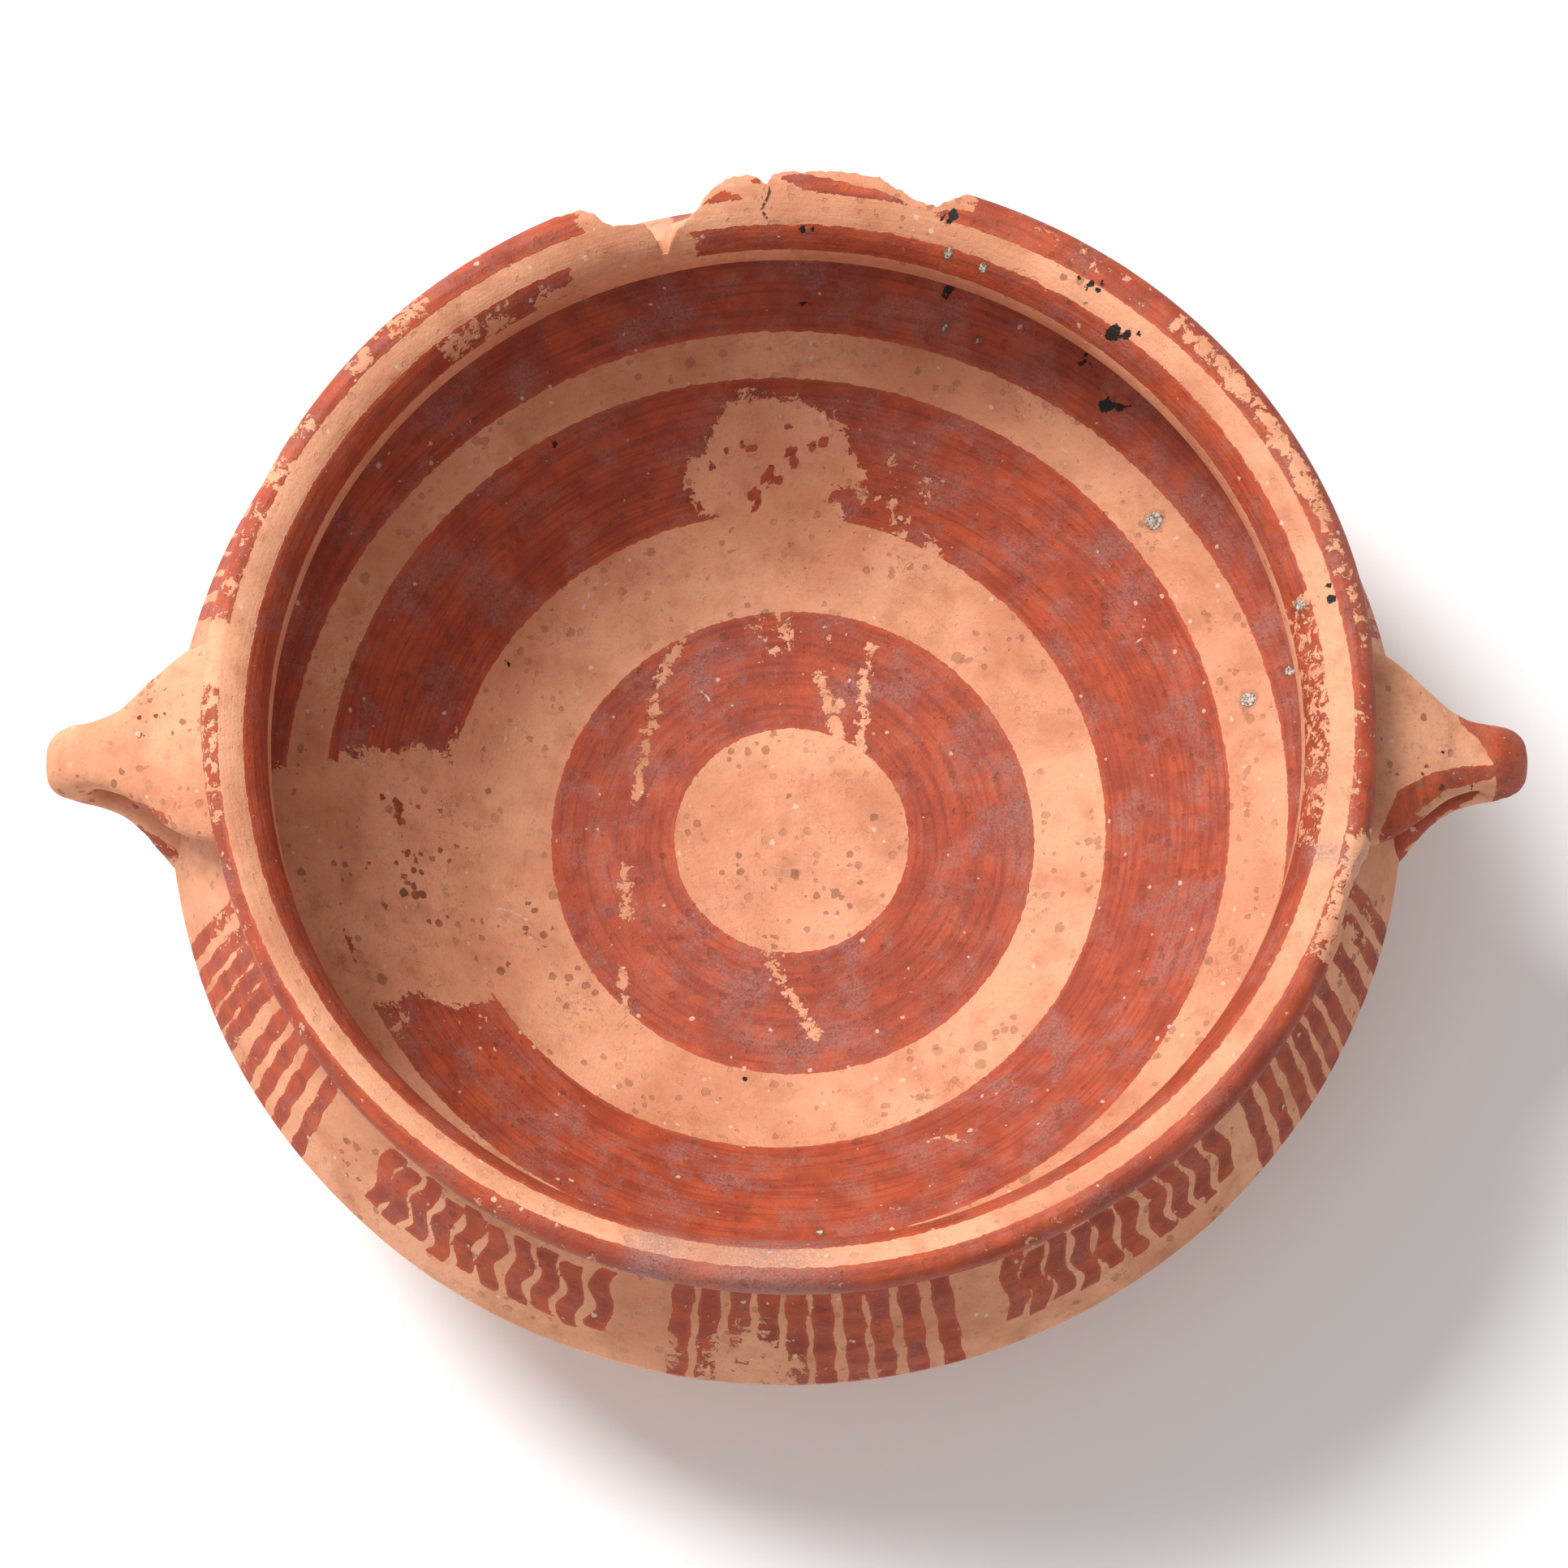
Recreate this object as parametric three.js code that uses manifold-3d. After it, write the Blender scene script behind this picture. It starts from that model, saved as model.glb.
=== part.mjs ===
// A biconical bowl of fired clay, built up from a foot ring, a lower cone, a shoulder, a flaring lip and two
// strap handles. Units are millimetres and +Z is up. The origin is the centre of the foot's resting face, and
// the handles lie along X.

import * as THREE from 'three';
import { mergeVertices } from 'three/addons/utils/BufferGeometryUtils.js';
import Module from 'manifold-3d';

const wasm = await Module();
wasm.setup();

// Overall sizes
const HEIGHT = 82; // resting face to the lip's top
const LIP_RADIUS = 100; // outer edge of the lip
const BODY_RADIUS = 106.8; // widest point of the body, where the two cones meet
const BODY_HEIGHT = 47.3; // height of that widest point

// Walls
const WALL = 7;
const NECK_WALL = 5.7;
const FLOOR_THICKNESS = 7;

// Lip
const LIP_WIDTH = 11.9; // from the throat to the outer edge
const LIP_HEIGHT = 12; // from the joint at the neck to the top
const LIP_EDGE_ROUND = 3;
const LIP_UNDERCUT = 0.6; // how far up the underside's curve pulls: 0 at the neck, 1 at the edge
const LIP_DISH = 2.4; // how far below the lip's top its inner curve turns down into the throat

// Shoulder: where its two curves pull to, as shares of how far each draws in and rises
const OUTER_PULL = { drawIn: 0.3, rise: 0.43 };
const INNER_PULL = { drawIn: 0.25, rise: 0.47 };

// Inside of the lower cone
const CONE_START_RADIUS = 58; // where the straight side begins
const CONE_START_RISE = 6; // height of that point above the floor
const FLOOR_RADIUS = 36;

// Foot ring
const FOOT_RADIUS = 41; // outer edge of the resting face
const FOOT_WIDTH = 7;
const FOOT_HEIGHT = 5.5;
const FOOT_FLARE = 1.5;
const FOOT_SEAT_MARGIN = 3; // flat underside left outside the ring

// Handles, each one strap bent back on itself round a hole that runs along Y
const HANDLE_PROJECTION = 20.7; // from the widest point of the body to the tip
const HANDLE_ROOT_WIDTH = 36;
const NUB_WIDTH = 12.4;
const NUB_HEIGHT = 16;
const NUB_DROP = 23.7; // lip's top to the middle of the nub
const UPPER_ROOT_DROP = 9; // lip's top to the upper strap's top at its root
const LOWER_ROOT_DROP = 4; // widest point to the lower strap's underside at its root
const LOWER_ROOT_FLARE = 2.5; // how far outside the widest point that underside turns towards the nub
const STRAP_WAIST = 0.4; // where the root's curve turns towards the nub, as a share of the strap's length
const STRAP_WAIST_MARGIN = 3; // how much wider than the nub the strap's sides aim there
const STRAP_CROWN = 1; // how far the upper strap's top sags below its root before the nub
const HOLE_ROOT_HEIGHT = 11;
const HOLE_TAPER = 1; // how much each side of the hole closes in by the widest point of the body
const HOLE_TIP_ROUND = 2;
const NUB_DEPTH = 11; // solid clay between the hole and the tip
const HANDLE_CLEARANCE = 0.4; // gap between a handle's ends and the wall

// Breaks in the lip's edge: bearing in degrees from +X towards +Y, then width along the edge and depth
const LIP_CHIPS = [
  { bearing: 76, width: 15, depth: 3.2 },
  { bearing: 92, width: 3.5, depth: 2 },
  { bearing: 104, width: 24, depth: 6 },
  { bearing: -19, width: 14, depth: 2.4 },
];

// Fineness of the mesh
const TURNS = 72; // steps round the pot
const CURVE_STEPS = 6;
const ROUND_STEPS = 20;

const THROAT_RADIUS = LIP_RADIUS - LIP_WIDTH;
const NECK_RADIUS = THROAT_RADIUS + NECK_WALL;
const NECK_HEIGHT = HEIGHT - LIP_HEIGHT;
const FLOOR_TOP = FOOT_HEIGHT + FLOOR_THICKNESS;
const INNER_BODY_RADIUS = BODY_RADIUS - WALL;
const CONE_START_HEIGHT = FLOOR_TOP + CONE_START_RISE;
const HANDLE_TIP = BODY_RADIUS + HANDLE_PROJECTION;
const NUB_MIDDLE = HEIGHT - NUB_DROP;
const CONE_SLOPE = Math.atan2(BODY_HEIGHT - CONE_START_HEIGHT, INNER_BODY_RADIUS - CONE_START_RADIUS);

const materials = {
  foot: clay('foot_clay', 0xb57a57),
  bowl: clay('bowl_clay', 0xa04a33),
  shoulder: clay('shoulder_clay', 0xae6d4b),
  lip: clay('lip_clay', 0xc4805d),
  handle: clay('handle_clay', 0xc58867),
};

function clay(name, color) {
  return new THREE.MeshStandardMaterial({ name, color, roughness: 0.72, metalness: 0 });
}

// A closed mesh as a solid that can be cut
function solidFrom(geometry) {
  const bare = geometry.clone();
  bare.deleteAttribute('normal');
  bare.deleteAttribute('uv');
  const merged = mergeVertices(bare);
  const corners = merged.index.array;
  const kept = [];
  for (let i = 0; i < corners.length; i += 3) {
    const [a, b, c] = corners.slice(i, i + 3);
    if (a !== b && b !== c && c !== a) {
      kept.push(a, b, c);
    }
  }
  const mesh = new wasm.Mesh({
    numProp: 3,
    vertProperties: new Float32Array(merged.attributes.position.array),
    triVerts: new Uint32Array(kept),
  });
  return new wasm.Manifold(mesh);
}

function meshFrom(name, solid, material) {
  const { vertProperties, triVerts } = solid.getMesh();
  const geometry = new THREE.BufferGeometry();
  geometry.setAttribute('position', new THREE.BufferAttribute(new Float32Array(vertProperties), 3));
  geometry.setIndex(new THREE.BufferAttribute(new Uint32Array(triVerts), 1));
  geometry.computeVertexNormals();
  const mesh = new THREE.Mesh(geometry, material);
  mesh.name = name;
  return mesh;
}

// A closed outline of radius and height turned about the pot's axis
function turned(outline) {
  const points = outline.getPoints(CURVE_STEPS);
  points.push(points[0].clone());
  const geometry = new THREE.LatheGeometry(points, TURNS);
  geometry.rotateX(Math.PI / 2);
  return solidFrom(geometry);
}

// The outer surface of the lower cone from the underside's flat to the widest point, moved out by grow
function addLowerOutside(outline, grow) {
  const seat = FOOT_RADIUS + FOOT_SEAT_MARGIN;
  const outX = WALL * Math.sin(CONE_SLOPE);
  const outZ = WALL * Math.cos(CONE_SLOPE);
  const coneStart = new THREE.Vector2(CONE_START_RADIUS + outX, CONE_START_HEIGHT - outZ);
  const coneEnd = new THREE.Vector2(INNER_BODY_RADIUS + outX, BODY_HEIGHT - outZ);
  const footOfCone = coneStart.x - (coneStart.y - FOOT_HEIGHT) / Math.tan(CONE_SLOPE);
  const turnHeight = coneEnd.y + (BODY_RADIUS - coneEnd.x) * Math.tan(CONE_SLOPE);
  outline.lineTo(seat + grow, FOOT_HEIGHT);
  outline.quadraticCurveTo(footOfCone + grow, FOOT_HEIGHT, coneStart.x + grow, coneStart.y);
  outline.lineTo(coneEnd.x + grow, coneEnd.y);
  outline.quadraticCurveTo(BODY_RADIUS + grow, turnHeight, BODY_RADIUS + grow, BODY_HEIGHT);
}

// The outer surface of the shoulder from the widest point up to the neck
function addShoulderOutside(outline, grow) {
  const pullRadius = BODY_RADIUS - OUTER_PULL.drawIn * (BODY_RADIUS - NECK_RADIUS);
  const pullHeight = BODY_HEIGHT + OUTER_PULL.rise * (NECK_HEIGHT - BODY_HEIGHT);
  outline.quadraticCurveTo(pullRadius + grow, pullHeight, NECK_RADIUS + grow, NECK_HEIGHT);
}

// The underside and rounded edge of the lip, from the neck up to the lip's top
function addLipOutside(outline, grow) {
  const centre = new THREE.Vector2(LIP_RADIUS - LIP_EDGE_ROUND, HEIGHT - LIP_EDGE_ROUND);
  const start = -Math.PI / 4;
  const edge = new THREE.Vector2(Math.cos(start), Math.sin(start)).multiplyScalar(LIP_EDGE_ROUND).add(centre);
  const pull = new THREE.Vector2(
    THREE.MathUtils.lerp(edge.x, NECK_RADIUS, LIP_UNDERCUT),
    THREE.MathUtils.lerp(NECK_HEIGHT, edge.y, LIP_UNDERCUT),
  );
  outline.quadraticCurveTo(pull.x + grow, pull.y, edge.x + grow, edge.y);
  outline.absarc(centre.x + grow, centre.y, LIP_EDGE_ROUND, start, Math.PI / 2, false);
}

function footRing() {
  const inner = FOOT_RADIUS - FOOT_WIDTH;
  const middle = FOOT_HEIGHT / 2;
  const outline = new THREE.Path();
  outline.moveTo(inner, 0);
  outline.lineTo(FOOT_RADIUS, 0);
  outline.quadraticCurveTo(FOOT_RADIUS - FOOT_FLARE, middle, FOOT_RADIUS, FOOT_HEIGHT);
  outline.lineTo(inner, FOOT_HEIGHT);
  outline.quadraticCurveTo(inner + FOOT_FLARE, middle, inner, 0);
  return turned(withoutLastPoint(outline));
}

// The same outline as a path of points whose last one doesn't repeat the first
function withoutLastPoint(outline) {
  const points = outline.getPoints(CURVE_STEPS);
  points.pop();
  return new THREE.Path(points);
}

function lowerBowl() {
  const outline = new THREE.Path();
  outline.moveTo(0, FOOT_HEIGHT);
  addLowerOutside(outline, 0);
  outline.lineTo(INNER_BODY_RADIUS, BODY_HEIGHT);
  outline.lineTo(CONE_START_RADIUS, CONE_START_HEIGHT);
  const footOfCone = CONE_START_RADIUS - CONE_START_RISE / Math.tan(CONE_SLOPE);
  outline.quadraticCurveTo(footOfCone, FLOOR_TOP, FLOOR_RADIUS, FLOOR_TOP);
  outline.lineTo(0, FLOOR_TOP);
  return turned(outline);
}

function shoulder() {
  const pullRadius = INNER_BODY_RADIUS - INNER_PULL.drawIn * (INNER_BODY_RADIUS - THROAT_RADIUS);
  const pullHeight = BODY_HEIGHT + INNER_PULL.rise * (NECK_HEIGHT - BODY_HEIGHT);
  const outline = new THREE.Path();
  outline.moveTo(INNER_BODY_RADIUS, BODY_HEIGHT);
  outline.lineTo(BODY_RADIUS, BODY_HEIGHT);
  addShoulderOutside(outline, 0);
  outline.lineTo(THROAT_RADIUS, NECK_HEIGHT);
  outline.quadraticCurveTo(pullRadius, pullHeight, INNER_BODY_RADIUS, BODY_HEIGHT);
  return turned(withoutLastPoint(outline));
}

function lip() {
  const outline = new THREE.Path();
  outline.moveTo(THROAT_RADIUS, NECK_HEIGHT);
  outline.lineTo(NECK_RADIUS, NECK_HEIGHT);
  addLipOutside(outline, 0);
  outline.quadraticCurveTo(THROAT_RADIUS, HEIGHT - LIP_DISH, THROAT_RADIUS, NECK_HEIGHT);
  let solid = turned(withoutLastPoint(outline));
  for (const chip of LIP_CHIPS) {
    solid = solid.subtract(chipCutter(chip));
  }
  return solid;
}

// An upright cylinder that takes a shallow scallop of the given width and depth out of the lip's edge
function chipCutter({ bearing, width, depth }) {
  const radius = (width * width / 4 + depth * depth) / (2 * depth);
  const angle = THREE.MathUtils.degToRad(bearing);
  const distance = LIP_RADIUS - depth + radius;
  const geometry = new THREE.CylinderGeometry(radius, radius, 3 * LIP_HEIGHT, ROUND_STEPS);
  geometry.rotateX(Math.PI / 2);
  geometry.translate(distance * Math.cos(angle), distance * Math.sin(angle), HEIGHT);
  return solidFrom(geometry);
}

// The pot's outside as one solid without a hollow, a clearance larger than the pot
function outsideOfPot() {
  const outline = new THREE.Path();
  outline.moveTo(0, FOOT_HEIGHT);
  addLowerOutside(outline, HANDLE_CLEARANCE);
  addShoulderOutside(outline, HANDLE_CLEARANCE);
  addLipOutside(outline, HANDLE_CLEARANCE);
  outline.lineTo(0, HEIGHT);
  return turned(outline);
}

// The handle seen from above: a wide root that narrows to a round nub
function handlePlan() {
  const round = NUB_WIDTH / 2;
  const half = HANDLE_ROOT_WIDTH / 2;
  const nub = HANDLE_TIP - round;
  const waist = LIP_RADIUS + STRAP_WAIST * (nub - LIP_RADIUS);
  const waistHalf = round + STRAP_WAIST_MARGIN;
  const plan = new THREE.Shape();
  plan.moveTo(NECK_RADIUS, -half);
  plan.lineTo(LIP_RADIUS, -half);
  plan.bezierCurveTo(waist, -waistHalf, nub - round, -round, nub, -round);
  plan.absarc(nub, 0, round, -Math.PI / 2, Math.PI / 2, false);
  plan.bezierCurveTo(nub - round, round, waist, waistHalf, LIP_RADIUS, half);
  plan.lineTo(NECK_RADIUS, half);
  return plan;
}

// The handle seen from the side: the strap leaves the neck, turns at the nub and comes back to the body
function handleSide() {
  const round = NUB_HEIGHT / 2;
  const nub = HANDLE_TIP - round;
  const upper = HEIGHT - UPPER_ROOT_DROP;
  const lower = BODY_HEIGHT - LOWER_ROOT_DROP;
  const side = new THREE.Shape();
  side.moveTo(NECK_RADIUS, lower);
  side.lineTo(BODY_RADIUS + HANDLE_CLEARANCE, lower);
  side.quadraticCurveTo(BODY_RADIUS + LOWER_ROOT_FLARE, NUB_MIDDLE - round, nub, NUB_MIDDLE - round);
  side.absarc(nub, NUB_MIDDLE, round, -Math.PI / 2, Math.PI / 2, false);
  side.quadraticCurveTo((LIP_RADIUS + nub) / 2, upper - STRAP_CROWN, LIP_RADIUS, upper);
  side.lineTo(NECK_RADIUS, upper);
  side.holes.push(handleHole());
  return side;
}

// The gap between the straps, open to the wall at its wide end and rounded at the nub
function handleHole() {
  const end = HANDLE_TIP - NUB_DEPTH - HOLE_TIP_ROUND;
  const root = NECK_RADIUS + HANDLE_CLEARANCE;
  const rootHalf = HOLE_ROOT_HEIGHT / 2;
  const bodyHalf = rootHalf - HOLE_TAPER;
  const pull = end - HOLE_TIP_ROUND;
  const pullHalf = bodyHalf - HOLE_TAPER;
  const hole = new THREE.Path();
  hole.moveTo(root, NUB_MIDDLE + rootHalf);
  hole.lineTo(BODY_RADIUS, NUB_MIDDLE + bodyHalf);
  hole.quadraticCurveTo(pull, NUB_MIDDLE + pullHalf, end, NUB_MIDDLE + HOLE_TIP_ROUND);
  hole.absarc(end, NUB_MIDDLE, HOLE_TIP_ROUND, Math.PI / 2, -Math.PI / 2, true);
  hole.quadraticCurveTo(pull, NUB_MIDDLE - pullHalf, BODY_RADIUS, NUB_MIDDLE - bodyHalf);
  hole.lineTo(root, NUB_MIDDLE - rootHalf);
  return hole;
}

// What the plan and the side view have in common, turned to its bearing and cut back from the wall
function handle(bearing) {
  const plan = extruded(handlePlan(), HEIGHT);
  const side = extruded(handleSide(), 2 * HANDLE_ROOT_WIDTH);
  side.rotateX(Math.PI / 2);
  side.translate(0, HANDLE_ROOT_WIDTH, 0);
  const whole = solidFrom(plan).intersect(solidFrom(side));
  return whole.rotate([0, 0, bearing]).subtract(outsideOfPot());
}

function extruded(shape, depth) {
  return new THREE.ExtrudeGeometry(shape, { depth, bevelEnabled: false, curveSegments: CURVE_STEPS });
}

const group = new THREE.Group();
group.name = 'biconical_bowl';
group.add(meshFrom('foot_ring', footRing(), materials.foot));
group.add(meshFrom('lower_bowl', lowerBowl(), materials.bowl));
group.add(meshFrom('shoulder', shoulder(), materials.shoulder));
group.add(meshFrom('lip', lip(), materials.lip));
group.add(meshFrom('handle_right', handle(0), materials.handle));
group.add(meshFrom('handle_left', handle(180), materials.handle));

export default group;
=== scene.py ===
import math

import bpy
import numpy as np
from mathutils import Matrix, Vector


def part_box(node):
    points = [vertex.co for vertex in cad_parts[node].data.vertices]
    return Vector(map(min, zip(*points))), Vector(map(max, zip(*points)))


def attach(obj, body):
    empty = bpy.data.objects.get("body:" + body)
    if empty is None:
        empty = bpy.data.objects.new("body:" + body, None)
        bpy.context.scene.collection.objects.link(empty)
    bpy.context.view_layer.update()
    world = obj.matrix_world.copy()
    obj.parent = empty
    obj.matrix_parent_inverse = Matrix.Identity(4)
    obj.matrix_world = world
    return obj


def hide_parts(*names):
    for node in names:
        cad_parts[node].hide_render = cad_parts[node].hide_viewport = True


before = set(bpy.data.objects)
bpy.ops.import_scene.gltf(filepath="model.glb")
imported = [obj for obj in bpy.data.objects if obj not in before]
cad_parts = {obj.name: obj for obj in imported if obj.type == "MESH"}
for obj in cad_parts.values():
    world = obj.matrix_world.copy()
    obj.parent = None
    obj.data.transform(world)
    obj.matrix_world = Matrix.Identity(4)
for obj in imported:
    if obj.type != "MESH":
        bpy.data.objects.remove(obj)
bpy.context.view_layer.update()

# A painted clay bowl. Lengths are in millimetres, and MM turns them into metres when a mesh is made.
# A bearing is in degrees round the pot's axis, from +X towards +Y.
MM = 0.001
TURN = 360.0
SEED = 11


def box_mm(node):
    low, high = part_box(node)
    return np.array(low) / MM, np.array(high) / MM


# Sizes of the frame
lip_low, lip_high = box_mm("lip")
shoulder_low, shoulder_high = box_mm("shoulder")
HEIGHT = lip_high[2]
LIP_RADIUS = lip_high[0]
NECK_HEIGHT = lip_low[2]
BODY_RADIUS = shoulder_high[0]
BODY_HEIGHT = shoulder_low[2]
FOOT_HEIGHT = box_mm("lower_bowl")[0][2]
FOOT_RADIUS = box_mm("foot_ring")[1][0]

# Walls and profile
WALL = 7.0
NECK_WALL = 5.7
FLOOR_TOP = FOOT_HEIGHT + 7.0
LIP_WIDTH = 11.9
LIP_EDGE_ROUND = 3.0
THROAT_RADIUS = LIP_RADIUS - LIP_WIDTH
NECK_RADIUS = THROAT_RADIUS + NECK_WALL
INNER_BODY_RADIUS = BODY_RADIUS - WALL
CONE_START = (58.0, FLOOR_TOP + 6.0)
FLOOR_RADIUS = 36.0
FOOT_WIDTH = 7.0
FOOT_FLARE = 1.5
SEAT_RADIUS = FOOT_RADIUS + 3.0

# The lip's edge isn't quite round or centred: how far it stands out towards a bearing, and where it is
# pressed in or stands out further (bearing, half width, amount)
LIP_SHIFT = 1.6
LIP_SHIFT_BEARING = 45.0
LIP_SPREAD = 0.2
LIP_PRESSES = [(0.0, 10.0, -1.1), (172.0, 12.0, 0.7), (212.0, 16.0, -0.35)]

# The broken edge of the lip: bearing and remaining radius, joined by straight lines
FAR_BREAK = [
    (71.4, 104), (72.4, 100.2), (73.4, 98.8), (74.4, 97.4), (75.6, 97.0), (76.8, 97.3), (78.8, 98.7),
    (80.7, 100.1), (83.4, 100.5), (86.3, 100.5), (89.4, 100.1), (91.3, 99.6), (92.1, 97.5), (92.7, 98.8),
    (93.4, 99.6), (95.6, 99.4), (97.2, 98.2), (98.5, 96.1), (99.3, 94.8), (101.0, 92.8), (102.4, 91.0),
    (103.3, 89.4), (104.0, 89.3), (104.3, 91.6), (105.2, 94.1), (108.3, 95.0), (109.2, 96.3),
    (109.9, 98.3), (110.9, 99.5), (113.0, 100.2), (114.5, 104),
]
FRONT_BREAK = [
    (336.5, 104), (338.5, 100.2), (340.0, 99.2), (342.5, 98.4), (345.0, 99.0), (347.5, 100.4),
    (349.0, 104),
]
BREAK_ROUGHNESS = 0.22
CRACK = [(92.1, 97.9), (91.6, 96.1), (92.1, 94.6), (92.6, 93.2), (92.1, 92.0)]


def bend(start, pull, end, steps=48):
    share = np.linspace(0, 1, steps)[:, None]
    start, pull, end = (np.array(p, float) for p in (start, pull, end))
    return (1 - share) ** 2 * start + 2 * share * (1 - share) * pull + share ** 2 * end


def arc(centre, radius, start, stop, steps=24):
    angle = np.radians(np.linspace(start, stop, steps))
    return np.stack([centre[0] + radius * np.cos(angle), centre[1] + radius * np.sin(angle)], 1)


def straight(start, end, steps=8):
    return np.linspace(start, end, steps)


def joined(*paths):
    return np.vstack([paths[0]] + [path[1:] for path in paths[1:]])


def resampled(path, count):
    """The path as count points at even distances along it."""
    steps = np.hypot(*np.diff(path, axis=0).T)
    along = np.concatenate([[0], np.cumsum(steps)])
    even = np.linspace(0, along[-1], count)
    return np.stack([np.interp(even, along, path[:, 0]), np.interp(even, along, path[:, 1])], 1)


def smooth(value, low, high):
    """0 below low, 1 above high and a smooth rise between them."""
    share = np.clip((value - low) / (high - low), 0, 1)
    return share * share * (3 - 2 * share)


def bearing_gap(bearing, centre):
    """Degrees from centre to bearing, between -180 and 180."""
    return (bearing - centre + TURN / 2) % TURN - TURN / 2


class Ripples:
    """A smooth random field over space, from sine waves of random direction, for hand-made unevenness."""

    def __init__(self, seed, longest, shortest, waves=14):
        draw = np.random.default_rng(seed)
        directions = draw.normal(size=(waves, 3))
        directions /= np.linalg.norm(directions, axis=1)[:, None]
        lengths = np.geomspace(longest, shortest, waves)
        self.vectors = directions * (2 * math.pi / lengths)[:, None]
        self.phases = draw.uniform(0, 2 * math.pi, waves)
        self.heights = np.sqrt(lengths / longest)
        self.heights /= self.heights.sum()

    def at(self, points):
        return (np.sin(points @ self.vectors.T + self.phases) * self.heights).sum(-1)


broad_ripples = Ripples(SEED, 90.0, 22.0)
fine_ripples = Ripples(SEED + 1, 9.0, 1.6, waves=24)
crumb_ripples = Ripples(SEED + 2, 2.2, 0.7, waves=24)


def to_points(bearing, radius, height):
    angle = np.radians(bearing)
    return np.stack([radius * np.cos(angle), radius * np.sin(angle), height + 0 * angle], -1)


def uneven(points, floor_sink=0.0):
    """Points moved a little towards the axis, as on a pot thrown by hand, and never outwards."""
    radius = np.hypot(points[..., 0], points[..., 1])
    depth = 0.22 * (broad_ripples.at(points) - 1) * smooth(radius, 5, 40)
    depth -= 0.03 * (1 + fine_ripples.at(points)) * smooth(radius, 5, 40)
    scale = 1 + depth / np.maximum(radius, 1)
    moved = points * np.stack([scale, scale, np.ones_like(scale)], -1)
    sink = floor_sink * (1 + broad_ripples.at(points[..., [1, 0, 2]]))
    moved[..., 2] -= sink * (1 - smooth(radius, 60, 90))
    return moved


def lip_edge(bearing):
    """The unbroken lip's outer radius at each bearing."""
    edge = LIP_RADIUS + LIP_SPREAD + LIP_SHIFT * np.cos(np.radians(bearing - LIP_SHIFT_BEARING))
    for centre, half_width, depth in LIP_PRESSES:
        edge = edge + depth * np.exp(-(bearing_gap(bearing, centre) / half_width) ** 2)
    return edge


def lip_path(edge):
    """The lip's section from the neck outside, under the lip, over its edge and down to the throat."""
    centre = (LIP_RADIUS - LIP_EDGE_ROUND, HEIGHT - LIP_EDGE_ROUND)
    rounded = arc(centre, LIP_EDGE_ROUND, -45, 90)
    under = bend((NECK_RADIUS, NECK_HEIGHT), (95.9, 74.1), rounded[0])
    top = bend(rounded[-1], (THROAT_RADIUS, HEIGHT - 2.4), (THROAT_RADIUS, NECK_HEIGHT), 64)
    path = joined(under, rounded, top)
    reach = (path[:, 0] - THROAT_RADIUS) / LIP_WIDTH
    path[:, 0] += reach * (edge - LIP_RADIUS) * smooth(path[:, 1], NECK_HEIGHT, NECK_HEIGHT + 7)
    return path


def broken(path, remaining, slope):
    """The section cut off by a steep line that leaves the given radius at the lip's top surface."""
    top = path[len(path) // 2:]
    corner_height = np.interp(-remaining, -top[:, 0], top[:, 1])
    limit = remaining + slope * (corner_height - np.minimum(path[:, 1], corner_height))
    cut = path.copy()
    outside = path[:, 0] > limit
    cut[outside, 1] = np.minimum(path[outside, 1], corner_height)
    cut[outside, 0] = limit[outside]
    return cut


def break_radius(bearing):
    """The radius left by the breaks, and a large one where the lip is whole."""
    limit = np.full_like(bearing, 2 * LIP_RADIUS)
    for outline in (FAR_BREAK, FRONT_BREAK):
        bearings, radii = np.array(outline, float).T
        inside = (bearing >= bearings[0]) & (bearing <= bearings[-1])
        limit = np.where(inside, np.interp(bearing, bearings, radii), limit)
    spot = to_points(bearing, LIP_RADIUS, HEIGHT)
    return limit + BREAK_ROUGHNESS * (4 * fine_ripples.at(spot) + 3 * crumb_ripples.at(spot))


def face_points(start, end, steps):
    """Points strictly between two ends, for the flat face where two pieces meet."""
    return np.linspace(start, end, steps + 2)[1:-1]


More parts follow.
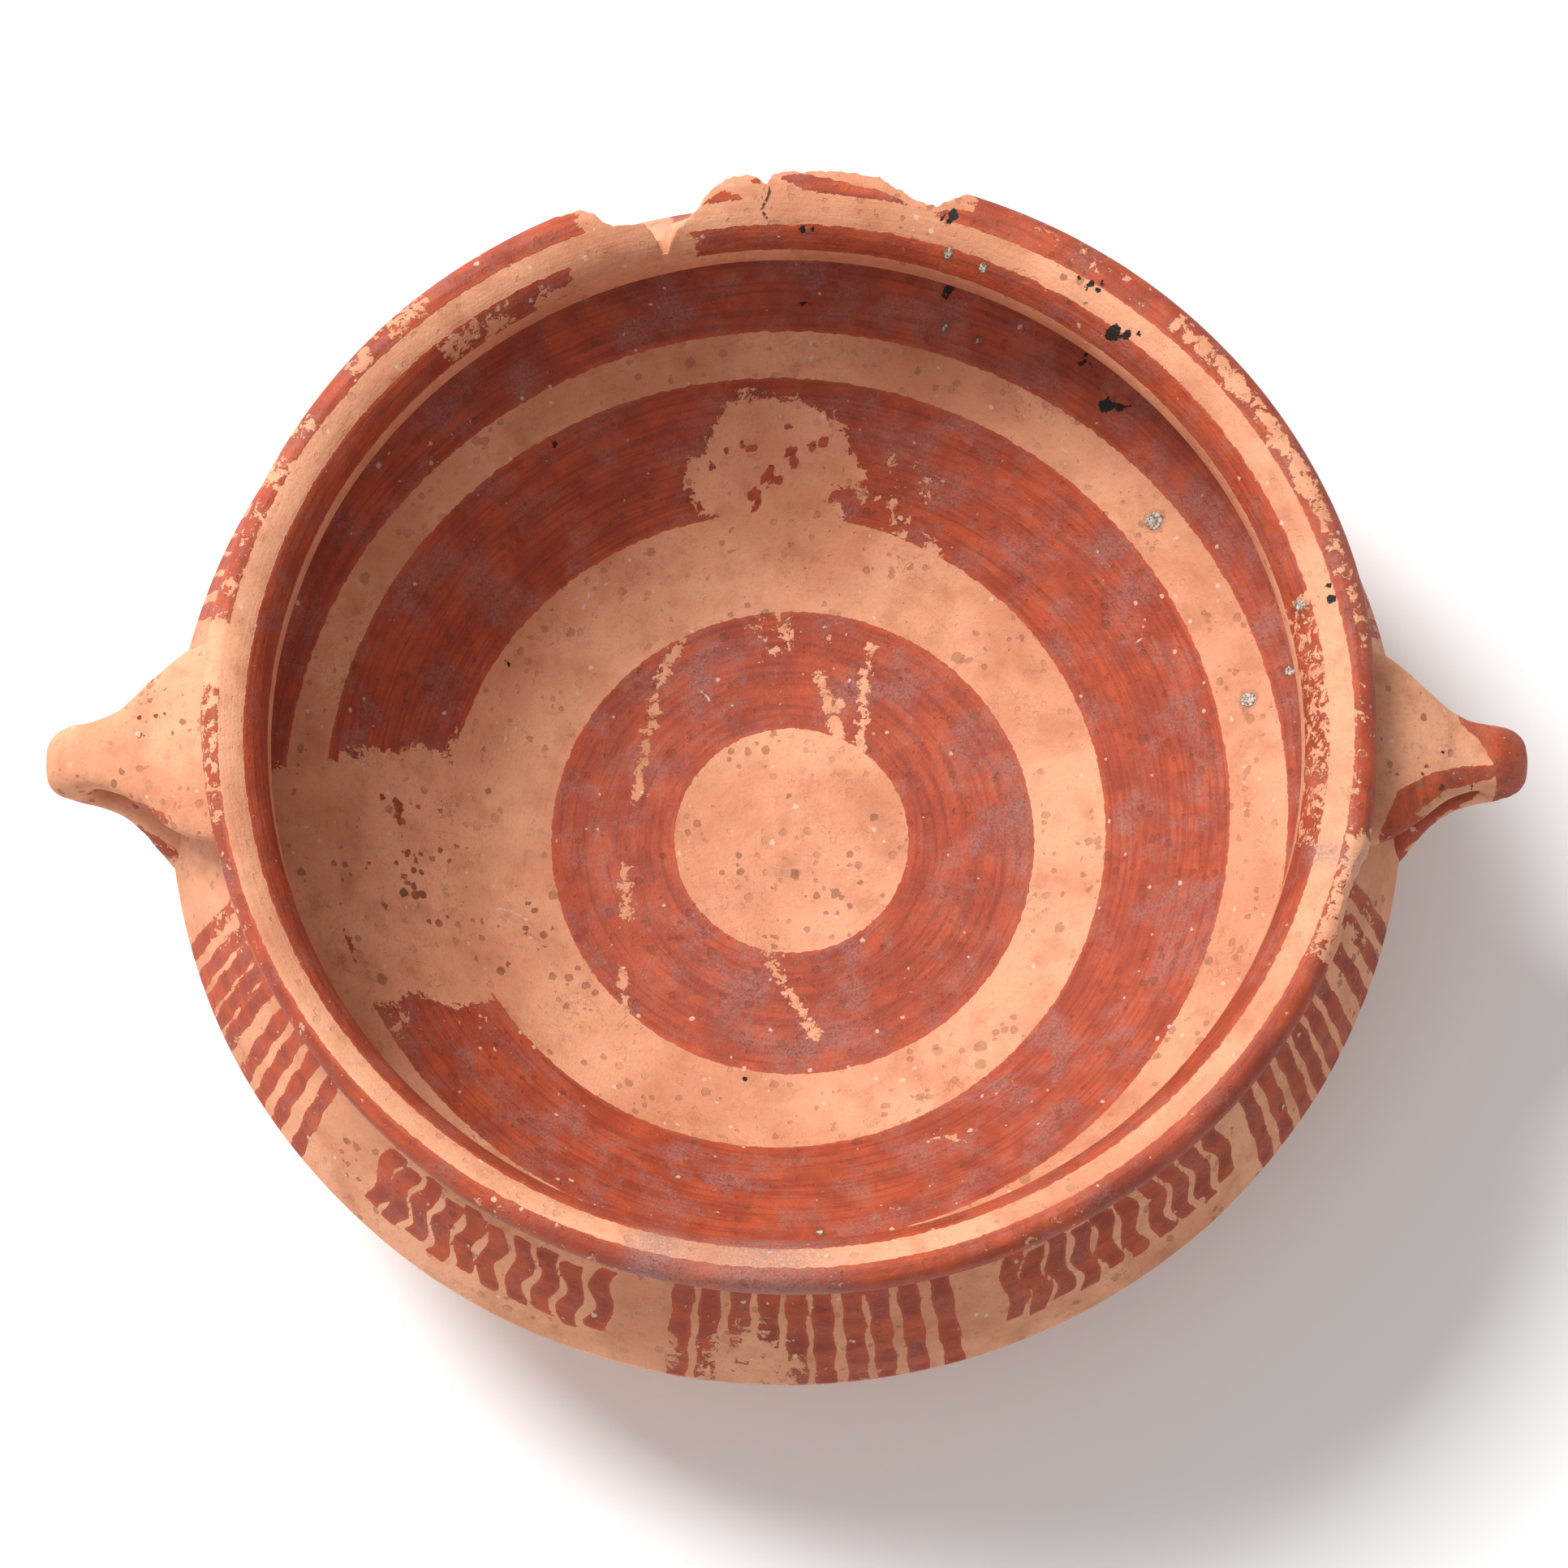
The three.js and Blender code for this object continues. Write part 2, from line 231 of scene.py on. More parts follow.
class Piece:
    """One mesh in the making: points in millimetres, faces, a map and the fields that colour it."""

    def __init__(self, name, grid, loop_closed, turn_closed=True, strips=3):
        self.name = name
        self.grid = grid
        columns, rows = grid.shape[:2]
        self.points = grid.reshape(-1, 3)
        last_column = columns if turn_closed else columns - 1
        last_row = rows if loop_closed else rows - 1
        column, row = np.meshgrid(np.arange(last_column), np.arange(last_row), indexing="ij")
        column, row = column.ravel(), row.ravel()
        beside, above = (column + 1) % columns, (row + 1) % rows
        corners = [(column, row), (beside, row), (beside, above), (column, above)]
        self.faces = np.stack([of_column * rows + of_row for of_column, of_row in corners], 1)
        self.uv = strip_map(column, row, last_column, last_row, strips)
        self.fields = {}
        if self.volume() < 0:
            self.faces = self.faces[:, ::-1]
            self.uv = self.uv[:, ::-1]

    def volume(self):
        a, b, c, d = (self.points[self.faces[:, k]] for k in range(4))
        first = np.einsum("ij,ij->i", a, np.cross(b, c))
        second = np.einsum("ij,ij->i", a, np.cross(c, d))
        return (first + second).sum()

    def build(self, node, slot, material, sharp=50):
        """The finished object, standing for its CAD node."""
        points, faces, uv = self.welded()
        mesh = bpy.data.meshes.new(self.name)
        mesh.from_pydata((points * MM).tolist(), [], [[k for k in face if k >= 0] for face in faces])
        layer = mesh.uv_layers.new(name="OFBake")
        layer.data.foreach_set("uv", uv.ravel())
        for field, values in self.fields.items():
            attribute = mesh.attributes.new(field, "FLOAT", "POINT")
            attribute.data.foreach_set("value", values.astype(np.float32))
        mesh.shade_smooth()
        mesh.set_sharp_from_angle(angle=math.radians(sharp))
        mesh.materials.append(material)
        piece = bpy.data.objects.new(self.name, mesh)
        bpy.context.scene.collection.objects.link(piece)
        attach(piece, "root")
        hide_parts(node)
        return piece

    def welded(self):
        """Points, faces and map with the points that share one place made one, as on the axis."""
        keys = np.round(self.points, 5)
        _, first, merged = np.unique(keys, axis=0, return_index=True, return_inverse=True)
        merged = merged.ravel()
        faces = merged[self.faces]
        kept_faces, kept_uv = [], []
        for face, corners in zip(faces.tolist(), self.uv):
            kept = [k for k in range(4) if face[k] != face[k - 1]]
            if len(kept) >= 3 and len({face[k] for k in kept}) == len(kept):
                kept_faces.append([face[k] for k in kept])
                kept_uv.append(corners[kept])
        self.fields = {name: values[first] for name, values in self.fields.items()}
        return self.points[first], kept_faces, np.concatenate(kept_uv)


def strip_map(column, row, columns, rows, strips):
    """A map of strips side by side, each one part of the turn, so that its scale is about even."""
    margin = 0.004
    per_strip = math.ceil(columns / strips)
    strip = column // per_strip
    u0, u1 = (column - strip * per_strip) / per_strip, (column + 1 - strip * per_strip) / per_strip
    v0, v1 = row / rows, (row + 1) / rows

    def placed(u, v):
        u = margin + (1 - 2 * margin) * u
        v = (strip + margin * strips + (1 - 2 * margin * strips) * v) / strips
        return np.stack([u, v], -1)

    return np.stack([placed(u0, v0), placed(u1, v0), placed(u1, v1), placed(u0, v1)], 1)


def turned(path, columns):
    """The path of radius and height turned round the axis, as columns of points."""
    bearing = np.arange(columns) * TURN / columns
    return to_points(bearing[:, None], path[None, :, 0], path[None, :, 1])


def lip_grid(columns=1150, rows=58):
    grid = []
    bearings = np.arange(columns) * TURN / columns
    edges = lip_edge(bearings)
    breaks = break_radius(bearings)
    joint = face_points((THROAT_RADIUS, NECK_HEIGHT), (NECK_RADIUS, NECK_HEIGHT), 3)
    for bearing, edge, remaining in zip(bearings, edges, breaks):
        path = lip_path(edge)
        if remaining < edge:
            path = broken(path, remaining, 0.15 + 0.75 * float(smooth(-remaining, -96, -89)))
        loop = np.vstack([resampled(path, rows), joint])
        grid.append(to_points(bearing, loop[:, 0], loop[:, 1]))
    return uneven(np.array(grid))


def shoulder_grid(columns=900):
    outside = resampled(bend((BODY_RADIUS, BODY_HEIGHT), (102.9, 57.06), (NECK_RADIUS, NECK_HEIGHT)), 46)
    inside = bend((THROAT_RADIUS, NECK_HEIGHT), (96.9, 58.0), (INNER_BODY_RADIUS, BODY_HEIGHT))
    upper = face_points((NECK_RADIUS, NECK_HEIGHT), (THROAT_RADIUS, NECK_HEIGHT), 3)
    lower = face_points((INNER_BODY_RADIUS, BODY_HEIGHT), (BODY_RADIUS, BODY_HEIGHT), 3)
    return uneven(turned(np.vstack([outside, upper, resampled(inside, 26), lower]), columns))


def bowl_inside():
    """From the axis over the floor and up the cone to the joint with the shoulder."""
    slope = (BODY_HEIGHT - CONE_START[1]) / (INNER_BODY_RADIUS - CONE_START[0])
    pull = CONE_START[0] - (CONE_START[1] - FLOOR_TOP) / slope
    floor = straight((0, FLOOR_TOP), (FLOOR_RADIUS, FLOOR_TOP))
    rise = bend((FLOOR_RADIUS, FLOOR_TOP), (pull, FLOOR_TOP), CONE_START)
    return joined(floor, rise, straight(CONE_START, (INNER_BODY_RADIUS, BODY_HEIGHT)))


def bowl_outside():
    """From the joint with the shoulder down the outer cone and under the floor to the axis."""
    shoulder_turn = bend((BODY_RADIUS, BODY_HEIGHT), (BODY_RADIUS, 43.6), (103.8, 41.5))
    cone = straight((103.8, 41.5), (62.0, 12.7))
    seat = bend((62.0, 12.7), (51.7, FOOT_HEIGHT), (SEAT_RADIUS, FOOT_HEIGHT))
    return joined(shoulder_turn, cone, seat, straight((SEAT_RADIUS, FOOT_HEIGHT), (0, FOOT_HEIGHT)))


def bowl_grid(columns=560):
    joint = face_points((INNER_BODY_RADIUS, BODY_HEIGHT), (BODY_RADIUS, BODY_HEIGHT), 2)
    path = np.vstack([resampled(bowl_inside(), 112), joint, resampled(bowl_outside(), 58)])
    return uneven(turned(path, columns), floor_sink=0.12)


def foot_grid(columns=260):
    inner, middle = FOOT_RADIUS - FOOT_WIDTH, FOOT_HEIGHT / 2
    round_low = bend((FOOT_RADIUS - 0.6, 0), (FOOT_RADIUS, 0), (FOOT_RADIUS, 0.6), 6)
    side = bend((FOOT_RADIUS, 0.6), (FOOT_RADIUS - FOOT_FLARE, middle), (FOOT_RADIUS, FOOT_HEIGHT), 14)
    top = straight((FOOT_RADIUS, FOOT_HEIGHT), (inner, FOOT_HEIGHT), 5)
    bore = bend((inner, FOOT_HEIGHT), (inner + FOOT_FLARE, middle), (inner, 0.6), 14)
    round_in = bend((inner, 0.6), (inner, 0), (inner + 0.6, 0), 6)
    base = straight((inner + 0.6, 0), (FOOT_RADIUS - 0.6, 0), 8)
    return uneven(turned(joined(round_low, side, top, bore, round_in, base)[:-1], columns))


# The handles' strap, from its upper root round the nub to its lower root: reach from the pot's axis, height,
# half thickness and half width
HANDLE_STATIONS = [
    (93.5, 70.3, 3.4, 18.5), (97.5, 69.7, 3.5, 18.2), (101.5, 68.9, 3.5, 17.2), (105.5, 67.5, 3.6, 14.6),
    (109.5, 66.0, 3.6, 11.2), (113.5, 64.3, 3.4, 8.0), (117.5, 62.9, 3.6, 6.3), (120.7, 61.2, 4.6, 6.0),
    (122.0, 58.3, 5.5, 6.1), (120.7, 55.4, 4.6, 6.0), (117.0, 53.7, 3.4, 6.6), (113.2, 52.0, 3.2, 7.8),
    (109.6, 50.0, 3.8, 10.2), (106.6, 48.2, 4.6, 13.4), (103.5, 46.6, 5.0, 16.5),
    (100.5, 45.6, 4.6, 18.0),
]


def through(values, share):
    """A smooth curve through evenly numbered values (Catmull-Rom), at each share of its length."""
    values = np.array(values, float)
    padded = np.vstack([2 * values[0] - values[1], values, 2 * values[-1] - values[-2]])
    place = share * (len(values) - 1)
    start = np.minimum(place.astype(int), len(values) - 2)
    t = (place - start)[:, None]
    a, b, c, d = (padded[start + k] for k in range(4))
    square, cube = 2 * a - 5 * b + 4 * c - d, 3 * b - a - 3 * c + d
    return 0.5 * (2 * b + (c - a) * t + square * t ** 2 + cube * t ** 3)


def handle_grid(side, steps=260, around=120):
    """The strap's rounded section carried along its mid-line. side is 1 on the right and -1 on the left."""
    share = np.linspace(0, 1, steps)
    reach, height, half_thick, half_wide = through(HANDLE_STATIONS, share).T
    along = np.stack([np.gradient(reach), np.gradient(height)], 1)
    along /= np.linalg.norm(along, axis=1)[:, None]
    normal = np.stack([-along[:, 1], along[:, 0]], 1)
    angle = np.linspace(0, 2 * math.pi, around, endpoint=False)
    squareness = 2.5
    across = np.sign(np.cos(angle)) * np.abs(np.cos(angle)) ** (2 / squareness)
    thick = np.sign(np.sin(angle)) * np.abs(np.sin(angle)) ** (2 / squareness)
    lean = -1.1 * np.cos(share * math.pi)
    offset = thick[None, :] * half_thick[:, None]
    x = reach[:, None] + offset * normal[:, 0:1]
    z = height[:, None] + offset * normal[:, 1:2]
    y = across[None, :] * half_wide[:, None] + lean[:, None] * 0.5
    grid = np.stack([side * x, side * y, z], -1)
    bumps = 0.25 * broad_ripples.at(grid * 2.2) + 0.35 * fine_ripples.at(grid) - 0.3
    middle = np.stack([side * reach, side * lean * 0.5, height], -1)[:, None, :]
    outward = grid - middle
    outward /= np.linalg.norm(outward, axis=-1, keepdims=True)
    return grid + outward * bumps[..., None]


def capped(grid):
    """The grid with each end drawn to one point, which closes it. Both ends are inside the wall."""
    first = np.repeat(grid[:1].mean(1, keepdims=True), grid.shape[1], 1)
    last = np.repeat(grid[-1:].mean(1, keepdims=True), grid.shape[1], 1)
    return np.concatenate([first, grid, last])


# Edges of the painted bands inside the bowl, as off-centre circles: radius, lean and the lean's bearing
BANDS = {
    "dark_foot": (87.2, 0.9, -90.0),
    "wide_top": (78.9, 1.5, 165.0),
    "wide_foot": (58.1, 2.0, 160.0),
    "ring_outer": (42.6, 1.1, -5.0),
    "ring_inner": (20.7, 0.9, 15.0),
}
LIP_OUTER_BAND = 95.6  # inner edge of the red on the lip's edge, on average
LIP_INNER_BAND = 91.6  # outer edge of the red in the lip's throat
LIP_STRETCH = 0.6  # how much further out both are towards the handles
LIP_RED_FOOT = 73.6  # height at which the throat's red ends
INSIDE_RED_TOP = 71.5  # height at which the red inside the bowl begins
UNDER_LIP_RED = 75.0  # the edge's red goes this far down its underside

# Bare patches, as outlines in plan, and red left standing in them
LEFT_PATCH = [
    (-95, 3), (-79.1, 8.4), (-78.0, 10.4), (-74.2, 10.9), (-72.7, 12.3), (-68.6, 12.3), (-65.7, 14.5),
    (-62.7, 13.9), (-59.9, 13.6), (-58.0, 17.5), (-55.0, 22.0), (-50, 12), (-50, -20), (-48.5, -31.5),
    (-50.5, -29.9), (-52.7, -32.5), (-57.5, -33.8), (-60.8, -33.6), (-64.5, -32.4), (-66.0, -33.5),
    (-69.6, -36.3), (-72.6, -36.0), (-74.6, -30.0), (-75.9, -27.0), (-74.8, -25.2), (-77.4, -22.7),
    (-95, -22),
]
TOP_PATCH = [
    (-12.4, 57.0), (-15.1, 58.6), (-16.9, 60.8), (-18.3, 64.1), (-17.5, 66.3), (-14.7, 67.5),
    (-13.1, 71.9), (-11.1, 74.6), (-8.4, 76.2), (-5.4, 77.0), (-0.1, 76.3), (5.2, 75.0), (8.3, 73.4),
    (10.9, 70.7), (12.2, 67.4), (14.0, 64.3), (14.5, 61.3), (13.1, 60.4), (11.8, 62.0), (8.6, 62.8),
    (7.6, 60.9), (9.6, 60.2), (10.9, 57.3), (5.0, 57.8), (0, 56.5),
]
RED_REMAINS = [
    (-68.1, 2.9, 0.9), (-68.0, 1.2, 0.8), (-67.6, -0.4, 0.9), (-70.8, 3.7, 0.6), (-65.1, -6.3, 0.5),
    (-65.0, -7.5, 0.5), (-68.2, -8.2, 0.6), (-72.8, -8.9, 0.5), (-58.7, 12.0, 0.5), (-6.1, 68.7, 1.1),
    (0.8, 68.2, 1.2), (1.6, 66.7, 0.9), (6.5, 69.5, 0.9), (4.6, 69.0, 0.8), (-3.6, 63.9, 1.3),
    (-1.4, 64.2, 0.9), (-5.6, 61.2, 1.4), (-10.7, 68.2, 0.7), (-13.3, 65.9, 0.6), (0.3, 72.0, 0.6),
    (-2.5, 65.6, 0.6), (-8.0, 69.3, 0.7), (-5.5, 59.4, 0.6),
]
# Places where the red is thin and speckled: plan position, reach and how worn the middle is
THIN_PLACES = [
    (20.5, 64.5, 6.5, -0.55), (25.5, 61.5, 4.5, -0.35), (17.5, 60.5, 4.0, -0.5), (19.0, 55.6, 5.0, -0.1),
    (26.0, 51.8, 4.0, -0.1), (-66.5, -39.0, 6.5, -0.45), (-58.0, -40.5, 7.0, -0.9),
    (-52.0, -36.0, 4.0, -0.9), (-2.0, 38.5, 7.0, -0.2), (8.5, 38.0, 4.0, -0.5), (29.0, -57.5, 3.2, -0.3),
    (26.5, -56.0, 2.4, -0.2), (24.0, -66.0, 3.0, -0.5), (31.0, -66.5, 4.0, -0.9),
    (-68.3, 34.5, 1.8, -0.1), (-69.5, 36.5, 1.2, -0.3), (-11.0, 37.4, 3.0, -0.7), (43.0, 60.0, 6.0, -1.2),
    (-75.6, -31.0, 2.0, -0.2), (-29.0, -8.0, 2.0, -0.3), (36.0, 27.0, 2.5, -1.1),
    (-40.0, 55.0, 8.0, -1.3), (17.0, -72.0, 6.0, -1.0), (2.0, 30.0, 4.0, -1.0),
]
# Scratches through the red, in plan
SCRATCHES = [
    [(-18.6, 37.2), (-21.2, 32.4), (-22.9, 28.2), (-24.3, 20.6), (-25.7, 13.1), (-26.4, 7.8)],
    [(-28.2, -3.0), (-28.5, -7.9), (-28.0, -13.0)],
    [(-29.1, -22.8), (-28.4, -28.8), (-28.9, -34.0)],
    [(-4.8, -18.3), (-2.0, -23.5), (0.9, -28.0), (3.0, -31.7), (5.1, -35.4)],
    [(5.9, 30.4), (6.6, 28.2), (7.4, 25.1), (8.5, 22.1), (9.1, 19.1)],
    [(15.2, 35.7), (14.3, 31.2), (13.4, 26.7), (13.5, 22.1), (13.1, 17.6)],
    [(9.1, 25.5), (8.6, 22.0)],
]
PALE_SCRATCHES = [
    [(-47.3, 20.5), (-49.5, 18.2), (-51.5, 15.0)],
    [(-38.7, 42.9), (-36.0, 43.6), (-33.5, 46.0), (-30.1, 46.5)],
    [(61.0, 31.4), (62.6, 33.0), (63.1, 36.1)],
    [(-15.7, 28.2), (-14.4, 27.2), (-13.5, 25.9)],
    [(-51.2, -13.3), (-48.5, -13.4), (-45.5, -15.0)],
    [(48.8, 67.7), (48.4, 65.6), (49.4, 64.8), (49.0, 62.7)],
    [(-35.0, 44.0), (-36.6, 41.0)],
]
# Lime spots and black pits, in plan: position and radius
LIME_SPOTS = [
    (64.7, 51.8, 1.5), (80.7, 18.8, 1.3), (87.6, 22.3, 0.9), (5.7, -76.1, 0.7), (27.9, 86.1, 0.7),
    (33.9, 83.6, 0.7),
]
BLACK_PITS = [
    (-7.2, -43.7, 0.5), (-41.0, 67.2, 0.6), (28.8, 91.9, 0.9), (28.0, 90.8, 0.5), (27.0, 91.2, 0.4),
    (52.5, 79.3, 0.5), (53.6, 78.2, 0.5), (51.6, 78.6, 0.4), (54.4, 79.4, 0.35), (56.2, 71.4, 1.2),
    (58.5, 70.7, 0.8), (2.8, 90.5, 0.5), (4.6, 90.3, 0.4), (92.6, 22.1, 0.8), (92.2, 24.6, 0.5),
    (60.6, 70.6, 0.4), (50.2, 80.4, 0.3), (-49.3, 31.0, 0.4),
]

# Worn places on the lip: first and last bearing, inner and outer radius, how worn
LIP_WEAR = [
    (24, 47, 97.2, 99.6, 0.5), (50, 67, 96.5, 102, -0.7), (71, 100.5, 94.0, 103, 3.0),
    (100, 111.9, 86, 103, 3.0), (110, 114.4, 86, 92.5, 3.0), (113, 119, 84, 89.4, 0.8),
    (122, 131, 88.6, 90.6, 0.2), (129, 135.5, 96.6, 99.5, 0.2), (137, 140, 96.0, 99.0, 0.3),
    (146, 148.5, 96.5, 100, 0.1), (151, 154.5, 96.0, 100, 0.2), (156, 169, 95.5, 100, -0.5),
    (169, 176.5, 94, 101, 2.0), (177, 190, 96.5, 100, 0.0), (-13, 15, 87, 92.5, -0.1),
    (190, 215, 96.8, 99, -0.8), (335, 349, 96.5, 102, 0.6), (349, 357, 95, 97.5, -0.5),
    (-3, 4, 94, 99, -0.6), (16, 24, 97.5, 99.5, -0.2), (8, 20, 98.5, 99.6, -0.2),
    (284, 300, 97.5, 99, -0.9), (236, 252, 97.5, 99, -0.9),
]
# Red left on the broken side of the lip, as outlines of bearing and radius
LIP_REMAINS = [
    [
        (90.9, 98.6), (88.6, 99.3), (86.6, 98.9), (83.2, 97.9), (80.1, 97.4), (77.0, 96.0), (81.3, 96.0),
        (84.9, 96.1), (88.0, 96.3),
    ],
    [(98.9, 94.8), (97.7, 96.0), (96.6, 96.8), (95.5, 96.1), (94.2, 95.3), (96.3, 95.1)],
    [(93.8, 98.4), (92.9, 98.6), (92.4, 97.6), (93.2, 97.3)],
    [(75.0, 95.7), (72.2, 97.2), (69.0, 98.2), (66.0, 99.0), (62.0, 97.5), (66.2, 94.6), (70.0, 94.8)],
]

# Groups of brushed strokes on the shoulder: bearings of the strokes, upper and lower height, width, how many
# degrees the lower end leans on, and how far a wavy stroke swings to each side
STROKE_GROUPS = [
    ((196.4, 199.2, 201.5, 203.6, 205.7, 209.1, 211.8, 214.6, 217.8), 71, 43.5, 3.1, 1.2, 0.0),
    ((227.4, 229.6, 232.2, 234.9, 237.6, 240.3, 243.4, 246.2, 248.9, 251.9), 65.5, 52.8, 3.5, 0.6, 0.75),
    ((259.8, 262.5, 265.5, 268.3, 271.0, 273.6, 276.6, 279.2, 282.2, 285.5), 71, 42.5, 3.5, 0.2, 0.0),
    ((292.5, 294.8, 297.3, 300.0, 302.6, 305.3, 308.5, 311.2, 313.9, 316.8), 65.5, 52.8, 3.5, -0.6, 0.75),
    ((321.6, 324.6, 327.6, 330.3, 332.9, 335.6, 339.6, 342.9, 345.9), 71, 43.5, 3.4, -3.0, 0.0),
]
WAVE_LENGTH = 8.5
# Worn places on the shoulder: bearing, height, reach in millimetres and how worn
SHOULDER_WEAR = [
    (266.5, 51, 8.5, 0.9), (196, 60, 7, 0.1), (258.0, 53, 5, 0.3), (232.0, 60, 5, -0.9),
    (344, 58, 9, -0.3), (329, 50, 6, -0.6), (208, 50, 7, -0.7), (277, 46, 6, -0.5), (164, 62, 9, -0.3),
    (300, 60, 7, -1.1), (313, 55, 5, -1.0), (20, 55, 12, 0.1), (95, 52, 10, 0.2), (60, 60, 9, -0.3),
    (128, 50, 8, -0.2),
]
FAR = -9.0  # a signed distance that is out of reach of any edge


def plan_bearing(points):
    return np.degrees(np.arctan2(points[:, 1], points[:, 0])) % TURN


def plan_radius(points):
    return np.hypot(points[:, 0], points[:, 1])


def circle_edge(bearing, band):
    radius, lean, towards = BANDS[band]
    return radius + lean * np.cos(np.radians(bearing - towards))


def between(value, low, high):
    """Signed distance inside a range: above 0 between low and high."""
    return np.minimum(value - low, high - value)


def band_depth(bearing, radius, inner, outer):
    return between(radius, circle_edge(bearing, inner), circle_edge(bearing, outer))


def segment_offset(points, start, end):
    """Distance from plan points to a segment."""
    start, end = np.array(start, float), np.array(end, float)
    span = end - start
    share = np.clip((points - start) @ span / (span @ span), 0, 1)
    return np.linalg.norm(points - start - share[:, None] * span, axis=1)


def line_offset(points, line):
    return np.min([segment_offset(points, a, b) for a, b in zip(line[:-1], line[1:])], axis=0)


def outline_depth(points, outline):
    """Signed distance to a closed outline in plan, above 0 inside it."""
    closed = outline + outline[:1]
    inside = np.zeros(len(points), bool)
    for (x0, y0), (x1, y1) in zip(closed[:-1], closed[1:]):
        crosses = (points[:, 1] < y0) != (points[:, 1] < y1)
        level = (x1 - x0) * (points[:, 1] - y0) / (y1 - y0 if y1 != y0 else 1) + x0
        inside ^= crosses & (points[:, 0] < level)
    return np.where(inside, 1, -1) * line_offset(points, closed)


def disc_depth(points, spots):
    """Signed distance to the nearest of several discs, above 0 inside one."""
    return np.max([r - np.hypot(points[:, 0] - x, points[:, 1] - y) for x, y, r in spots], axis=0)


def thinning(points, places):
    """How worn each point is by the places where paint is thin: the middle's value, falling to FAR."""
    worn = [level - 2.2 * np.maximum(np.hypot(points[:, 0] - x, points[:, 1] - y) / reach - 0.4, 0)
            for x, y, reach, level in places]
    return np.max(worn, axis=0)


def shoulder_strokes(points):
    """Signed distance to the strokes, which run from under the lip over the widest part of the body."""
    bearing, height = plan_bearing(points), points[:, 2]
    best = np.full(len(points), FAR)
    for bearings, top, foot, width, lean, swing in STROKE_GROUPS:
        down = (top - height) / (top - foot)
        for index, middle in enumerate(bearings):
            for side in (1, -1):
                unevenness = 0.5 * math.sin(2.7 * index + top)
                centre = side * (middle + lean * (down - 0.5))
                away = bearing_gap(bearing, centre) * math.pi / 180 * plan_radius(points)
                away = away + swing * np.sin(2 * math.pi * height / WAVE_LENGTH + 0.6 * index)
                half = width / 2 * (1 + 0.12 * np.sin(height * 0.9 + 1.7 * index))
                ends = between(height, foot + 1.2 * unevenness, top + 1.2 * unevenness)
                best = np.maximum(best, np.minimum(half - np.abs(away), ends))
    return best


def shoulder_wear(points):
    bearing, height = plan_bearing(points), points[:, 2]
    worn = np.full(len(points), -1.35)
    for centre, level, reach, depth in SHOULDER_WEAR:
        around = bearing_gap(bearing, centre) * math.pi / 180 * BODY_RADIUS
        away = np.hypot(around, height - level) / reach
        worn = np.maximum(worn, depth - 2.0 * np.maximum(away - 0.5, 0))
    return worn


def inside_paint(points):
    """Signed distance to the red bands inside the bowl."""
    bearing, radius, height = plan_bearing(points), plan_radius(points), points[:, 2]
    low = height < BODY_HEIGHT + 0.1
    dark = np.where(low, radius - circle_edge(bearing, "dark_foot"), INSIDE_RED_TOP - height)
    wide = band_depth(bearing, radius, "wide_foot", "wide_top")
    ring = band_depth(bearing, radius, "ring_inner", "ring_outer")
    return np.maximum(dark, np.where(low, np.maximum(wide, ring), FAR))


def inside_wear(points):
    plan = points[:, :2]
    worn = np.maximum(outline_depth(plan, LEFT_PATCH), outline_depth(plan, TOP_PATCH))
    worn = np.minimum(worn, 2.4 - 3.4 * smooth(disc_depth(plan, RED_REMAINS), -0.6, 0.4))
    worn = np.maximum(np.maximum(worn, -1.75), thinning(plan, THIN_PLACES))
    for line in SCRATCHES:
        worn = np.maximum(worn, 0.75 - 0.95 * line_offset(plan, line))
    return worn


def lip_bands(points):
    """Signed distance to the red on the lip's edge and in its throat."""
    bearing, radius, height = plan_bearing(points), plan_radius(points), points[:, 2]
    stretch = LIP_STRETCH * np.cos(np.radians(2 * bearing))
    top = height > np.interp(radius, [THROAT_RADIUS, LIP_RADIUS], [NECK_HEIGHT + 2, HEIGHT - 5])
    outer = np.where(top, radius - (LIP_OUTER_BAND + stretch), height - UNDER_LIP_RED)
    foot = LIP_RED_FOOT + 0.4 * np.sin(np.radians(bearing))
    throat = np.minimum(LIP_INNER_BAND + stretch * 0.7 - radius, height - foot)
    dark = np.where(radius < THROAT_RADIUS + 2, INSIDE_RED_TOP - height, FAR)
    return np.where(top, np.maximum(np.maximum(outer, throat), dark), outer)


def lip_wear(points):
    bearing, radius = plan_bearing(points), plan_radius(points)
    worn = np.full(len(points), -1.45)
    for first, last, low, high, depth in LIP_WEAR:
        middle, half = (first + last) / 2, (last - first) / 2
        along = (half - np.abs(bearing_gap(bearing, middle))) * math.pi / 180 * LIP_RADIUS
        inside = np.minimum(along, between(radius, low, high))
        worn = np.maximum(worn, np.minimum(depth, inside + min(depth, 0)))
    polar = np.stack([bearing * math.pi / 180 * LIP_RADIUS, radius], 1)
    for outline in LIP_REMAINS:
        flat = [(b * math.pi / 180 * LIP_RADIUS, r) for b, r in outline]
        kept = smooth(outline_depth(polar, flat), -0.35, 0.25)
        worn = np.minimum(worn, 3.2 - 5.8 * kept)
    return worn


def bare_break(points):
    """Above 0 on the broken faces of the lip, where no paint was ever laid."""
    bearing, radius = plan_bearing(points), plan_radius(points)
    return radius - break_radius(bearing) + 0.5


def crack_offset(points):
    """Distance from the crack in the far side of the lip."""
    bearings, radii = np.array(CRACK).T
    return line_offset(points[:, :2], to_points(bearings, radii, 0)[:, :2])


